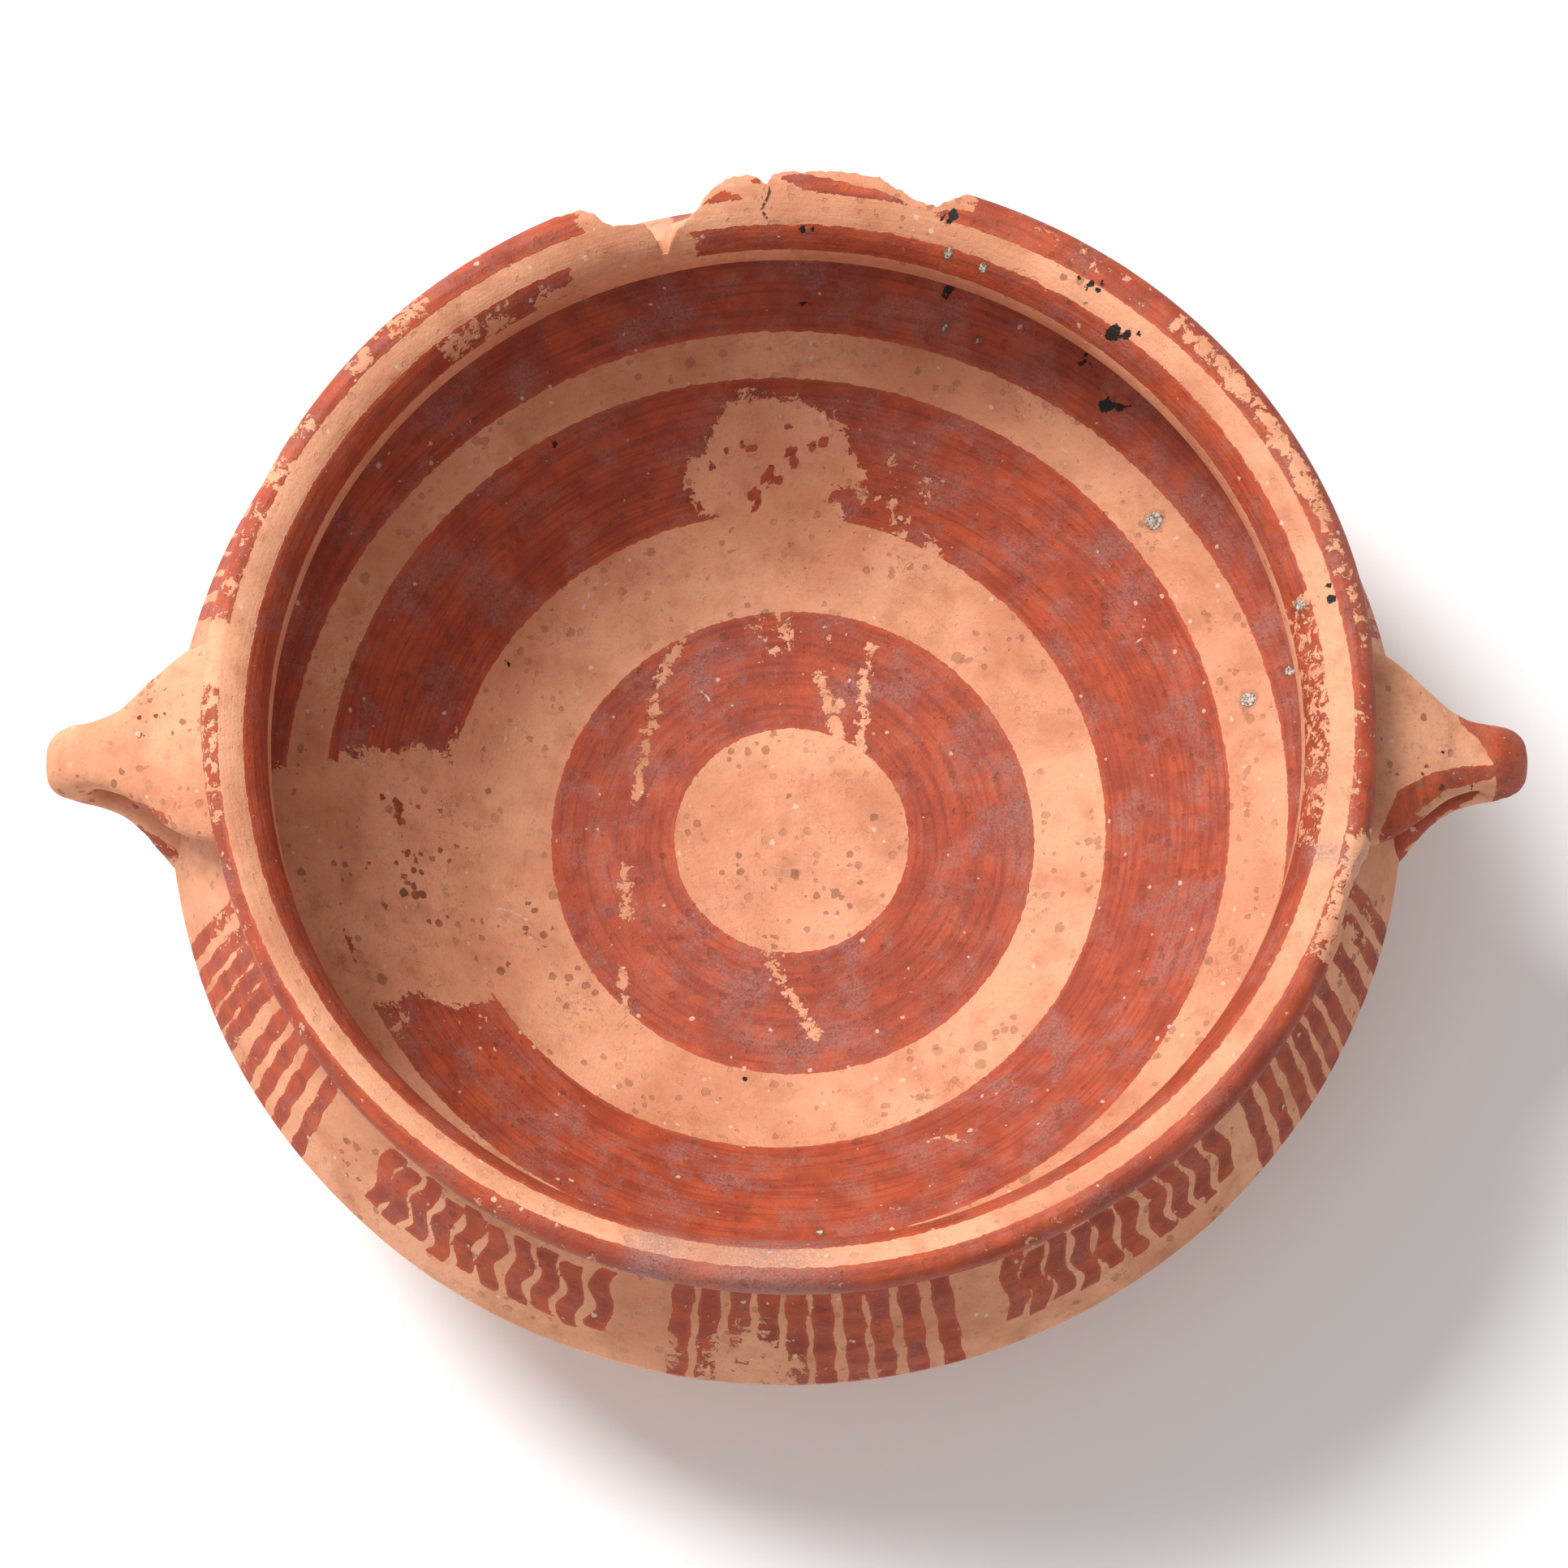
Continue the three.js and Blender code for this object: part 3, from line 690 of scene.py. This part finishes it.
def colour(red, green, blue):
    """A linear colour from screen values of 0 to 255, as an albedo under this scene's light."""
    screen = np.array([red, green, blue]) / 255
    linear = np.where(screen <= 0.04045, screen / 12.92, ((screen + 0.055) / 1.055) ** 2.4)
    return tuple(linear) + (1.0,)


BUFF = colour(203, 136, 102)
BUFF_PALE = colour(224, 160, 124)
BUFF_DEEP = colour(176, 106, 72)
RED = colour(158, 66, 42)
RED_DEEP = colour(128, 50, 34)
RED_BRIGHT = colour(184, 80, 46)
BLOOM = colour(150, 118, 112)
GRIME = colour(84, 52, 34)
GREY_GRIME = colour(112, 100, 84)
ROOT_MARK = colour(138, 82, 50)
PALE_MARK = colour(216, 190, 170)
LIME = colour(206, 196, 184)
SOOT = colour(30, 24, 22)
CRACK_DARK = colour(70, 40, 26)


class Shader:
    """A material's nodes from short calls. Wherever a value goes, it is a number, a colour or a socket."""

    def __init__(self, name):
        self.material = bpy.data.materials.new(name)
        self.material.use_nodes = True
        self.tree = self.material.node_tree
        self.tree.nodes.clear()
        output = self.tree.nodes.new("ShaderNodeOutputMaterial")
        self.surface = self.tree.nodes.new("ShaderNodeBsdfPrincipled")
        self.tree.links.new(self.surface.outputs[0], output.inputs["Surface"])
        place = self.tree.nodes.new("ShaderNodeTexCoord").outputs["Object"]
        self.place = self.vector("SCALE", place, scale=1 / MM)

    def feed(self, socket, value):
        if isinstance(value, bpy.types.NodeSocket):
            self.tree.links.new(value, socket)
        else:
            socket.default_value = value

    def math(self, operation, first, second=0.0, third=0.0):
        node = self.tree.nodes.new("ShaderNodeMath")
        node.operation = operation
        for socket, value in zip(node.inputs, (first, second, third)):
            self.feed(socket, value)
        return node.outputs[0]

    def vector(self, operation, first, second=None, scale=None):
        node = self.tree.nodes.new("ShaderNodeVectorMath")
        node.operation = operation
        self.feed(node.inputs[0], first)
        if second is not None:
            self.feed(node.inputs[1], second)
        if scale is not None:
            self.feed(node.inputs["Scale"], scale)
        return node.outputs["Value" if operation in ("LENGTH", "DOT_PRODUCT") else "Vector"]

    def field(self, name):
        node = self.tree.nodes.new("ShaderNodeAttribute")
        node.attribute_name = name
        return node.outputs["Fac"]

    def noise(self, size, detail=3.0, roughness=0.55, distortion=0.0, place=None, shift=0.0):
        """Cloudy noise around 0.5 whose lumps are about size millimetres."""
        node = self.tree.nodes.new("ShaderNodeTexNoise")
        where = self.vector("ADD", place or self.place, (shift, 2 * shift, -shift))
        self.feed(node.inputs["Vector"], where)
        node.inputs["Scale"].default_value = 1 / size
        node.inputs["Detail"].default_value = detail
        node.inputs["Roughness"].default_value = roughness
        node.inputs["Distortion"].default_value = distortion
        return node.outputs["Fac"]

    def cells(self, size, feature="F1", place=None, shift=0.0):
        node = self.tree.nodes.new("ShaderNodeTexVoronoi")
        node.feature = feature
        self.feed(node.inputs["Vector"], self.vector("ADD", place or self.place, (shift, -shift, 2 * shift)))
        node.inputs["Scale"].default_value = 1 / size
        return node

    def rise(self, value, low, high):
        """0 below low and 1 above high, with a smooth rise. With low above high it falls instead."""
        node = self.tree.nodes.new("ShaderNodeMapRange")
        node.interpolation_type = "SMOOTHSTEP"
        self.feed(node.inputs["Value"], value)
        swapped = low > high
        node.inputs["From Min"].default_value = min(low, high)
        node.inputs["From Max"].default_value = max(low, high)
        node.inputs["To Min"].default_value = 1.0 if swapped else 0.0
        node.inputs["To Max"].default_value = 0.0 if swapped else 1.0
        return node.outputs["Result"]

    def mix(self, share, first, second, blend="MIX"):
        node = self.tree.nodes.new("ShaderNodeMix")
        node.data_type = "RGBA"
        node.blend_type = blend
        self.feed(node.inputs[0], share)
        self.feed(node.inputs[6], first)
        self.feed(node.inputs[7], second)
        return node.outputs[2]

    def times(self, *values):
        result = values[0]
        for value in values[1:]:
            result = self.math("MULTIPLY", result, value)
        return result

    def specks(self, size, reach, amount, shift):
        """Small round spots of uneven size: one to a cell of the given size, in only some of the cells."""
        wobble = self.times(self.math("SUBTRACT", self.noise(size * 0.35, 2.0, shift=shift), 0.5), 0.5)
        node = self.cells(size, shift=shift)
        drawn = self.tree.nodes.new("ShaderNodeSeparateColor")
        self.feed(drawn.inputs[0], node.outputs["Color"])
        radius = self.times(drawn.outputs[0], drawn.outputs[0], reach)
        depth = self.math("SUBTRACT", radius, self.math("ADD", node.outputs["Distance"], wobble))
        chosen = self.rise(drawn.outputs[1], 1.0 - amount, 1.0 - amount + 0.02)
        return self.times(self.rise(depth, -0.04, 0.04), chosen), drawn.outputs[2]

    def short_lines(self, size, length, width, amount, shift):
        """Fine short scratches, each with its own direction, one to a cell in only some of the cells."""
        node = self.cells(size, shift=shift)
        place = self.vector("ADD", self.place, (shift, -shift, 2 * shift))
        middle = self.vector("SCALE", node.outputs["Position"], scale=size)
        from_middle = self.vector("SUBTRACT", place, middle)
        drawn = self.tree.nodes.new("ShaderNodeSeparateColor")
        self.feed(drawn.inputs[0], node.outputs["Color"])
        angle = self.times(drawn.outputs[0], 2 * math.pi)
        direction = self.tree.nodes.new("ShaderNodeCombineXYZ")
        self.feed(direction.inputs[0], self.math("COSINE", angle))
        self.feed(direction.inputs[1], self.math("SINE", angle))
        sideways = self.tree.nodes.new("ShaderNodeCombineXYZ")
        self.feed(sideways.inputs[0], self.times(self.math("SINE", angle), -1.0))
        self.feed(sideways.inputs[1], self.math("COSINE", angle))
        along = self.math("ABSOLUTE", self.vector("DOT_PRODUCT", from_middle, direction.outputs[0]))
        curve = self.times(self.math("SUBTRACT", self.noise(3.0, 2.0, shift=shift), 0.5), 3.0)
        offset = self.vector("DOT_PRODUCT", from_middle, sideways.outputs[0])
        across = self.math("ABSOLUTE", self.math("ADD", offset, curve))
        chosen = self.rise(drawn.outputs[1], 1.0 - amount, 1.0 - amount + 0.02)
        narrow, short = self.rise(across, width, width * 0.3), self.rise(along, length, length * 0.6)
        line = self.times(narrow, short, chosen)
        return self.times(line, self.rise(self.noise(0.6, 2.0, shift=shift + 5), 0.35, 0.5))


def wheel_place(sh):
    """Coordinates that run slowly round the pot and fast across it, for marks left by brush and wheel."""
    parts = sh.tree.nodes.new("ShaderNodeSeparateXYZ")
    sh.feed(parts.inputs[0], sh.place)
    x, y, z = parts.outputs
    radius = sh.math("SQRT", sh.math("ADD", sh.times(x, x), sh.times(y, y)))
    node = sh.tree.nodes.new("ShaderNodeCombineXYZ")
    sh.feed(node.inputs[0], sh.times(x, 0.06))
    sh.feed(node.inputs[1], sh.times(y, 0.06))
    sh.feed(node.inputs[2], sh.math("ADD", radius, z))
    return node.outputs[0]


def painted_clay(name, bloom=0.5, dots=0.5, roots=0.4, scratches=0.5, wheel=0.4, roughness=0.72):
    """Fired buff clay under worn red slip. The mesh's fields say where the slip is and where it is worn."""
    sh = Shader(name)
    wheel_lines = sh.noise(1.1, 3.0, 0.6, place=wheel_place(sh))
    broad = sh.noise(26.0, 3.0)
    patchy = sh.noise(7.0, 5.0, 0.6, shift=31.0)
    grain = sh.noise(0.55, 3.0, 0.7, shift=7.0)
    fine = sh.noise(0.22, 2.0, 0.6, shift=17.0)

    clay = sh.mix(sh.rise(broad, 0.35, 0.65), BUFF, BUFF_PALE)
    clay = sh.mix(sh.times(sh.rise(patchy, 0.45, 0.75), 0.55), clay, BUFF_DEEP)
    clay = sh.mix(sh.times(sh.rise(grain, 0.5, 0.72), 0.28), clay, BUFF_DEEP)
    clay = sh.mix(sh.times(sh.rise(wheel_lines, 0.5, 0.7), 0.25 * wheel), clay, BUFF_PALE)

    slip = sh.mix(sh.rise(patchy, 0.38, 0.66), RED, RED_BRIGHT)
    slip = sh.mix(sh.times(sh.rise(wheel_lines, 0.42, 0.66), 0.6), slip, RED_DEEP)
    slip = sh.mix(sh.times(sh.rise(grain, 0.5, 0.75), 0.4), slip, RED_DEEP)
    bloom_noise = sh.noise(9.0, 6.0, 0.68, shift=53.0)
    bloom_grain = sh.noise(0.5, 2.0, 0.8, shift=3.0)
    bloomed = sh.times(sh.rise(bloom_noise, 0.44, 0.66), sh.rise(bloom_grain, 0.34, 0.62), bloom)
    slip = sh.mix(bloomed, slip, BLOOM)

    edge = sh.field("paint")
    edge_wobble = sh.times(sh.math("SUBTRACT", sh.noise(1.6, 4.0, 0.6, shift=11.0), 0.5), 0.9)
    edge_line = sh.math("ADD", edge, edge_wobble)
    painted = sh.rise(edge_line, -0.07, 0.07)
    slip = sh.mix(sh.times(sh.rise(edge_line, 0.75, 0.25), 0.45), slip, RED_BRIGHT)

    wear = sh.field("wear")
    ragged = sh.times(sh.math("SUBTRACT", sh.noise(2.4, 6.0, 0.68, distortion=0.6, shift=23.0), 0.5), 7.5)
    flecks = sh.times(sh.math("SUBTRACT", sh.noise(0.7, 3.0, 0.6, shift=41.0), 0.5), 2.2)
    worn_depth = sh.math("ADD", wear, sh.math("ADD", ragged, flecks))
    bare = sh.rise(worn_depth, -0.12, 0.12)
    covered = sh.times(painted, sh.math("SUBTRACT", 1.0, bare))
    skin = sh.mix(covered, clay, slip)

    thick = sh.field("grime")
    dot_field = sh.rise(sh.noise(14.0, 3.0, shift=61.0), 0.36, 0.6)
    small_dots, small_tone = sh.specks(1.5, 0.62, 0.34, 5.0)
    large_dots, large_tone = sh.specks(3.6, 0.30, 0.30, 9.0)
    halo = sh.rise(sh.noise(1.5, 4.0, 0.7, shift=71.0), 0.56, 0.74)
    dirt_amount = sh.math("ADD", thick, dots)
    skin = sh.mix(sh.times(halo, dot_field, 0.42, dirt_amount), skin, GRIME)
    small_colour = sh.mix(small_tone, GRIME, RED_DEEP)
    skin = sh.mix(sh.times(small_dots, dirt_amount, dot_field, 0.85), skin, small_colour)
    skin = sh.mix(sh.times(large_dots, dirt_amount, 0.85), skin, sh.mix(large_tone, GRIME, ROOT_MARK))
    grey_cloud = sh.rise(sh.noise(4.5, 6.0, 0.7, shift=83.0), 0.58, 0.76)
    grey = sh.times(grey_cloud, sh.math("ADD", sh.times(thick, 1.2), 0.12))
    skin = sh.mix(grey, skin, GREY_GRIME)

    tangle = sh.noise(5.0, 5.0, 0.62, distortion=1.2, shift=97.0)
    ridged = sh.math("ABSOLUTE", sh.math("SUBTRACT", tangle, 0.5))
    root_zone = sh.rise(sh.noise(18.0, 2.0, shift=101.0), 0.46, 0.62)
    skin = sh.mix(sh.times(sh.rise(ridged, 0.012, 0.004), root_zone, roots), skin, ROOT_MARK)

    short_pale = sh.short_lines(6.5, 2.4, 0.16, 0.42, 13.0)
    long_pale = sh.short_lines(11.0, 4.0, 0.2, 0.35, 29.0)
    pale = sh.math("ADD", short_pale, long_pale)
    skin = sh.mix(sh.times(pale, scratches), skin, PALE_MARK)
    pale_specks, _ = sh.specks(2.3, 0.2, 0.35, 37.0)
    skin = sh.mix(sh.times(pale_specks, 0.7), skin, PALE_MARK)
    pale_wobble = sh.times(sh.math("SUBTRACT", fine, 0.5), 0.3)
    named_pale = sh.rise(sh.math("ADD", sh.field("pale_line"), pale_wobble), 0.3, 0.12)
    skin = sh.mix(sh.times(named_pale, 0.75), skin, PALE_MARK)

    spot_wobble = sh.times(sh.math("SUBTRACT", sh.noise(0.8, 3.0, shift=19.0), 0.5), 0.9)
    lime = sh.rise(sh.math("ADD", sh.field("lime"), spot_wobble), -0.1, 0.15)
    lime_halo = sh.rise(sh.math("ADD", sh.field("lime"), sh.times(spot_wobble, 2.0)), -0.9, 0.0)
    skin = sh.mix(sh.times(lime_halo, 0.35), skin, GRIME)
    skin = sh.mix(lime, skin, sh.mix(sh.rise(grain, 0.4, 0.6), LIME, GREY_GRIME))
    pit = sh.rise(sh.math("ADD", sh.field("pit"), sh.times(spot_wobble, 1.3)), -0.08, 0.08)
    skin = sh.mix(pit, skin, SOOT)
    crack = sh.rise(sh.math("ADD", sh.field("crack"), sh.times(spot_wobble, 0.3)), 0.3, 0.1)
    skin = sh.mix(sh.times(crack, 0.9), skin, CRACK_DARK)
    skin = sh.mix(sh.times(sh.rise(sh.field("dust"), 0.2, 1.0), sh.rise(bloom_grain, 0.3, 0.6)), skin, BLOOM)

    sh.feed(sh.surface.inputs["Base Color"], skin)
    rough = sh.math("ADD", sh.times(covered, -0.1), sh.math("ADD", sh.times(grain, 0.16), roughness - 0.05))
    sh.feed(sh.surface.inputs["Roughness"], rough)
    sh.surface.inputs["Specular IOR Level"].default_value = 0.32

    relief = sh.times(covered, 0.10)
    relief = sh.math("ADD", relief, sh.times(sh.noise(1.8, 5.0, 0.6, shift=43.0), 0.22))
    relief = sh.math("ADD", relief, sh.times(grain, 0.09))
    relief = sh.math("ADD", relief, sh.times(wheel_lines, 0.12 * wheel))
    relief = sh.math("SUBTRACT", relief, sh.times(sh.math("ADD", small_dots, large_dots), 0.10))
    relief = sh.math("SUBTRACT", relief, sh.times(sh.math("ADD", pit, crack), 0.35))
    relief = sh.math("ADD", relief, sh.times(lime, 0.2))
    bump = sh.tree.nodes.new("ShaderNodeBump")
    bump.inputs["Strength"].default_value = 0.85
    bump.inputs["Distance"].default_value = MM
    sh.feed(bump.inputs["Height"], relief)
    sh.feed(sh.surface.inputs["Normal"], bump.outputs[0])
    return sh.material


def far_field(points):
    return np.full(len(points), FAR)


def blank_fields(points):
    """Fields that say that nothing is painted, worn, spotted or cracked."""
    plan = points[:, :2]
    return {
        "paint": far_field(points),
        "wear": np.full(len(points), -1.6),
        "grime": np.zeros(len(points)),
        "dust": np.zeros(len(points)),
        "lime": np.maximum(disc_depth(plan, LIME_SPOTS), FAR),
        "pit": np.maximum(disc_depth(plan, BLACK_PITS), FAR),
        "pale_line": np.full(len(points), -FAR),
        "crack": np.full(len(points), -FAR),
    }


def faces_inwards(points, middle):
    """Where a turned piece's point is on the bowl's inside, given the mean radius of its wall."""
    return plan_radius(points) < middle


def around(points, places):
    """A soft sum of places given as bearing, height, reach and amount."""
    bearing, height = plan_bearing(points), points[:, 2]
    total = np.zeros(len(points))
    for centre, level, reach, amount in places:
        gap = bearing_gap(bearing, centre) * math.pi / 180 * LIP_RADIUS
        total += amount * np.exp(-((gap / reach[0]) ** 2 + ((height - level) / reach[1]) ** 2))
    return total


# Dust and grime on the lip: bearing, height, reach along the edge and up it, and amount
LIP_DUST = [(268, 80, (20, 9), 0.7), (256, 81, (6, 4), 0.5), (346, 80, (4, 4), 0.7)]
LIP_GRIME = [(58, 80, (16, 9), 0.5), (75, 80, (10, 8), 0.3), (10, 80, (14, 9), 0.2)]


def lip_piece():
    piece = Piece("lip_painted", lip_grid(), loop_closed=True, strips=3)
    points = piece.points
    piece.fields = blank_fields(points)
    piece.fields["paint"] = np.where(bare_break(points) > 0, -1.0, lip_bands(points))
    piece.fields["wear"] = lip_wear(points)
    piece.fields["crack"] = crack_offset(points)
    piece.fields["dust"] = around(points, LIP_DUST)
    piece.fields["grime"] = around(points, LIP_GRIME)
    return piece


def shoulder_piece():
    piece = Piece("shoulder_painted", shoulder_grid(), loop_closed=True, strips=3)
    points = piece.points
    height = points[:, 2]
    wall_middles = [BODY_RADIUS - WALL / 2, NECK_RADIUS - NECK_WALL / 2]
    middle = np.interp(height, [BODY_HEIGHT, NECK_HEIGHT], wall_middles)
    inside = faces_inwards(points, middle)
    piece.fields = blank_fields(points)
    piece.fields["paint"] = np.where(inside, inside_paint(points), shoulder_strokes(points))
    piece.fields["wear"] = np.where(inside, -1.5, shoulder_wear(points))
    piece.fields["grime"] = around(points, [(235, 55, (30, 12), 0.3), (335, 55, (35, 12), 0.35)])
    piece.fields["dust"] = np.where(inside, 0, around(points, [(270, 62, (50, 4), 0.2)]))
    for name in ("lime", "pit"):
        piece.fields[name] = far_field(points)
    return piece


def bowl_piece():
    piece = Piece("lower_bowl_painted", bowl_grid(), loop_closed=False, strips=2)
    points = piece.points
    radius = plan_radius(points)
    middle_height = np.interp(radius, [0, 40, 60, BODY_RADIUS - WALL / 2], [9, 9, 15.5, BODY_HEIGHT])
    inside = points[:, 2] > middle_height
    piece.fields = blank_fields(points)
    piece.fields["paint"] = np.where(inside, inside_paint(points), shoulder_strokes(points))
    piece.fields["wear"] = np.where(inside, inside_wear(points), shoulder_wear(points))
    pale = np.min([line_offset(points[:, :2], line) for line in PALE_SCRATCHES], axis=0)
    piece.fields["pale_line"] = np.where(inside, pale, -FAR)
    left = np.exp(-((points[:, 0] + 62) ** 2 + (points[:, 1] + 12) ** 2) / 26 ** 2)
    piece.fields["grime"] = np.where(inside, 0.55 * left + 0.25 * np.exp(-radius ** 2 / 26 ** 2), 0.1)
    for name in ("lime", "pit"):
        piece.fields[name] = np.where(inside, piece.fields[name], FAR)
    return piece


def foot_piece():
    piece = Piece("foot_ring_scuffed", foot_grid(), loop_closed=True, strips=4)
    points = piece.points
    piece.fields = blank_fields(points)
    piece.fields["grime"] = 0.35 * (points[:, 2] < 1.2)
    for name in ("lime", "pit"):
        piece.fields[name] = far_field(points)
    return piece


# Red on the handles in plan, as seen from above, and where it is worn
RIGHT_HANDLE_RED = [
    (114.4, 7.5), (119.8, 7.4), (127.9, 6), (128, -9), (112, -12), (103, -21), (100.5, -17),
    (104.1, -8.8), (109.7, -5.2), (115.3, -3.1), (120.9, -2.4), (118.5, 1.6), (115.4, 4.6),
]
RIGHT_HANDLE_BARE = [
    (121.2, -4.2), (112.5, -7.5), (106.5, -12.6), (108.5, -12.4), (114, -9.0), (121.5, -6.2),
]
LEFT_HANDLE_RED = [
    (-127, -5.0), (-120.5, -6.6), (-112, -8.6), (-105, -12.8), (-104, -14.4), (-110, -12.4), (-121, -9.0),
    (-127, -7.2),
]


def handle_piece(side):
    name = "handle_right_painted" if side > 0 else "handle_left_painted"
    grid = capped(handle_grid(side))
    piece = Piece(name, grid.transpose(1, 0, 2), loop_closed=False, strips=2)
    points = piece.points
    plan = points[:, :2]
    upper = points[:, 2] > 57
    piece.fields = blank_fields(points)
    if side > 0:
        red = np.minimum(outline_depth(plan, RIGHT_HANDLE_RED), -outline_depth(plan, RIGHT_HANDLE_BARE))
        specks = [(112, -1, 0.9), (117, -6, 0.4)]
    else:
        red = outline_depth(plan, LEFT_HANDLE_RED)
        red = np.maximum(red, disc_depth(plan, [(-109, 12.2, 0.9), (-113, 7.4, 0.5), (-101.5, 17.5, 0.6)]))
        specks = [(-109.5, 1.5, 0.5)]
    piece.fields["paint"] = np.where(upper, red, np.minimum(red, 0.4))
    piece.fields["wear"] = np.full(len(points), -1.0 if side > 0 else -0.5)
    piece.fields["pit"] = np.where(upper, disc_depth(plan, [(x, y, 0.35 * r) for x, y, r in specks]), FAR)
    piece.fields["lime"] = far_field(points)
    grey = np.exp(-((np.abs(points[:, 0]) - 110) ** 2 + (points[:, 1] - side * -3) ** 2) / 6 ** 2) * upper
    piece.fields["grime"] = 0.35 + 0.9 * grey
    return piece


def foot_clay():
    worn = {"dots": 0.3, "roots": 0.2, "scratches": 0.3}
    return painted_clay("foot_clay", bloom=0.2, wheel=0.6, roughness=0.8, **worn)


def bowl_clay():
    worn = {"dots": 0.45, "roots": 0.5, "scratches": 0.6}
    return painted_clay("bowl_clay", bloom=0.62, wheel=0.5, roughness=0.7, **worn)


def shoulder_clay():
    worn = {"dots": 0.4, "roots": 0.25, "scratches": 0.25}
    return painted_clay("shoulder_clay", bloom=0.35, wheel=0.7, roughness=0.74, **worn)


def lip_clay():
    worn = {"dots": 0.22, "roots": 0.15, "scratches": 0.25}
    return painted_clay("lip_clay", bloom=0.4, wheel=0.9, roughness=0.7, **worn)


def handle_clay():
    worn = {"dots": 0.25, "roots": 0.1, "scratches": 0.2}
    return painted_clay("handle_clay", bloom=0.3, wheel=0.0, roughness=0.74, **worn)


lip_piece().build("lip", "lip_clay", lip_clay(), sharp=42)
shoulder_piece().build("shoulder", "shoulder_clay", shoulder_clay())
bowl_piece().build("lower_bowl", "bowl_clay", bowl_clay())
foot_piece().build("foot_ring", "foot_clay", foot_clay())
handle_finish = handle_clay()
handle_piece(1).build("handle_right", "handle_clay", handle_finish)
handle_piece(-1).build("handle_left", "handle_clay", handle_finish)


def floor():
    size = 4000 * MM
    mesh = bpy.data.meshes.new("floor")
    corners = [(-size, -size, 0), (size, -size, 0), (size, size, 0), (-size, size, 0)]
    mesh.from_pydata(corners, [], [(0, 1, 2, 3)])
    material = bpy.data.materials.new("pale_floor")
    material.use_nodes = True
    surface = material.node_tree.nodes["Principled BSDF"]
    surface.inputs["Base Color"].default_value = (0.93, 0.93, 0.93, 1)
    surface.inputs["Roughness"].default_value = 0.9
    mesh.materials.append(material)
    plane = bpy.data.objects.new("floor", mesh)
    bpy.context.scene.collection.objects.link(plane)


def light(name, bearing, elevation, distance, size, power):
    """A square soft light that faces the bowl."""
    lamp = bpy.data.lights.new(name, "AREA")
    lamp.shape = "SQUARE"
    lamp.size = size
    lamp.energy = power
    place = bpy.data.objects.new(name, lamp)
    bearing, elevation = math.radians(bearing), math.radians(elevation)
    flat = math.cos(elevation)
    towards = Vector((flat * math.cos(bearing), flat * math.sin(bearing), math.sin(elevation)))
    place.location = towards * distance
    place.rotation_euler = towards.to_track_quat("Z", "Y").to_euler()
    bpy.context.scene.collection.objects.link(place)


def studio():
    world = bpy.data.worlds.new("studio")
    world.use_nodes = True
    world.node_tree.nodes["Background"].inputs["Color"].default_value = (1, 1, 1, 1)
    world.node_tree.nodes["Background"].inputs["Strength"].default_value = 0.42
    bpy.context.scene.world = world
    light("key", 140, 52, 2.2, 0.9, 62)
    light("fill", 250, 60, 2.5, 1.6, 9)
    bpy.context.scene.view_settings.view_transform = "Standard"


def camera():
    """The photograph's view: from the front and high above, with the lip near the middle of the frame."""
    lens_data = bpy.data.cameras.new("camera")
    lens_data.sensor_width = 36.0
    lens_data.lens = 203.6
    lens_data.shift_x = -0.0015
    lens_data.clip_end = 20.0
    distance = 1500.0
    elevation = math.radians(72.4)
    tilt = math.radians(17.2)
    viewer = bpy.data.objects.new("camera", lens_data)
    reach, rise = distance * math.cos(elevation), distance * math.sin(elevation)
    viewer.location = (0, -reach * MM, (HEIGHT + rise) * MM)
    viewer.rotation_euler = (tilt, 0, 0)
    bpy.context.scene.collection.objects.link(viewer)
    bpy.context.scene.camera = viewer


floor()
studio()
camera()
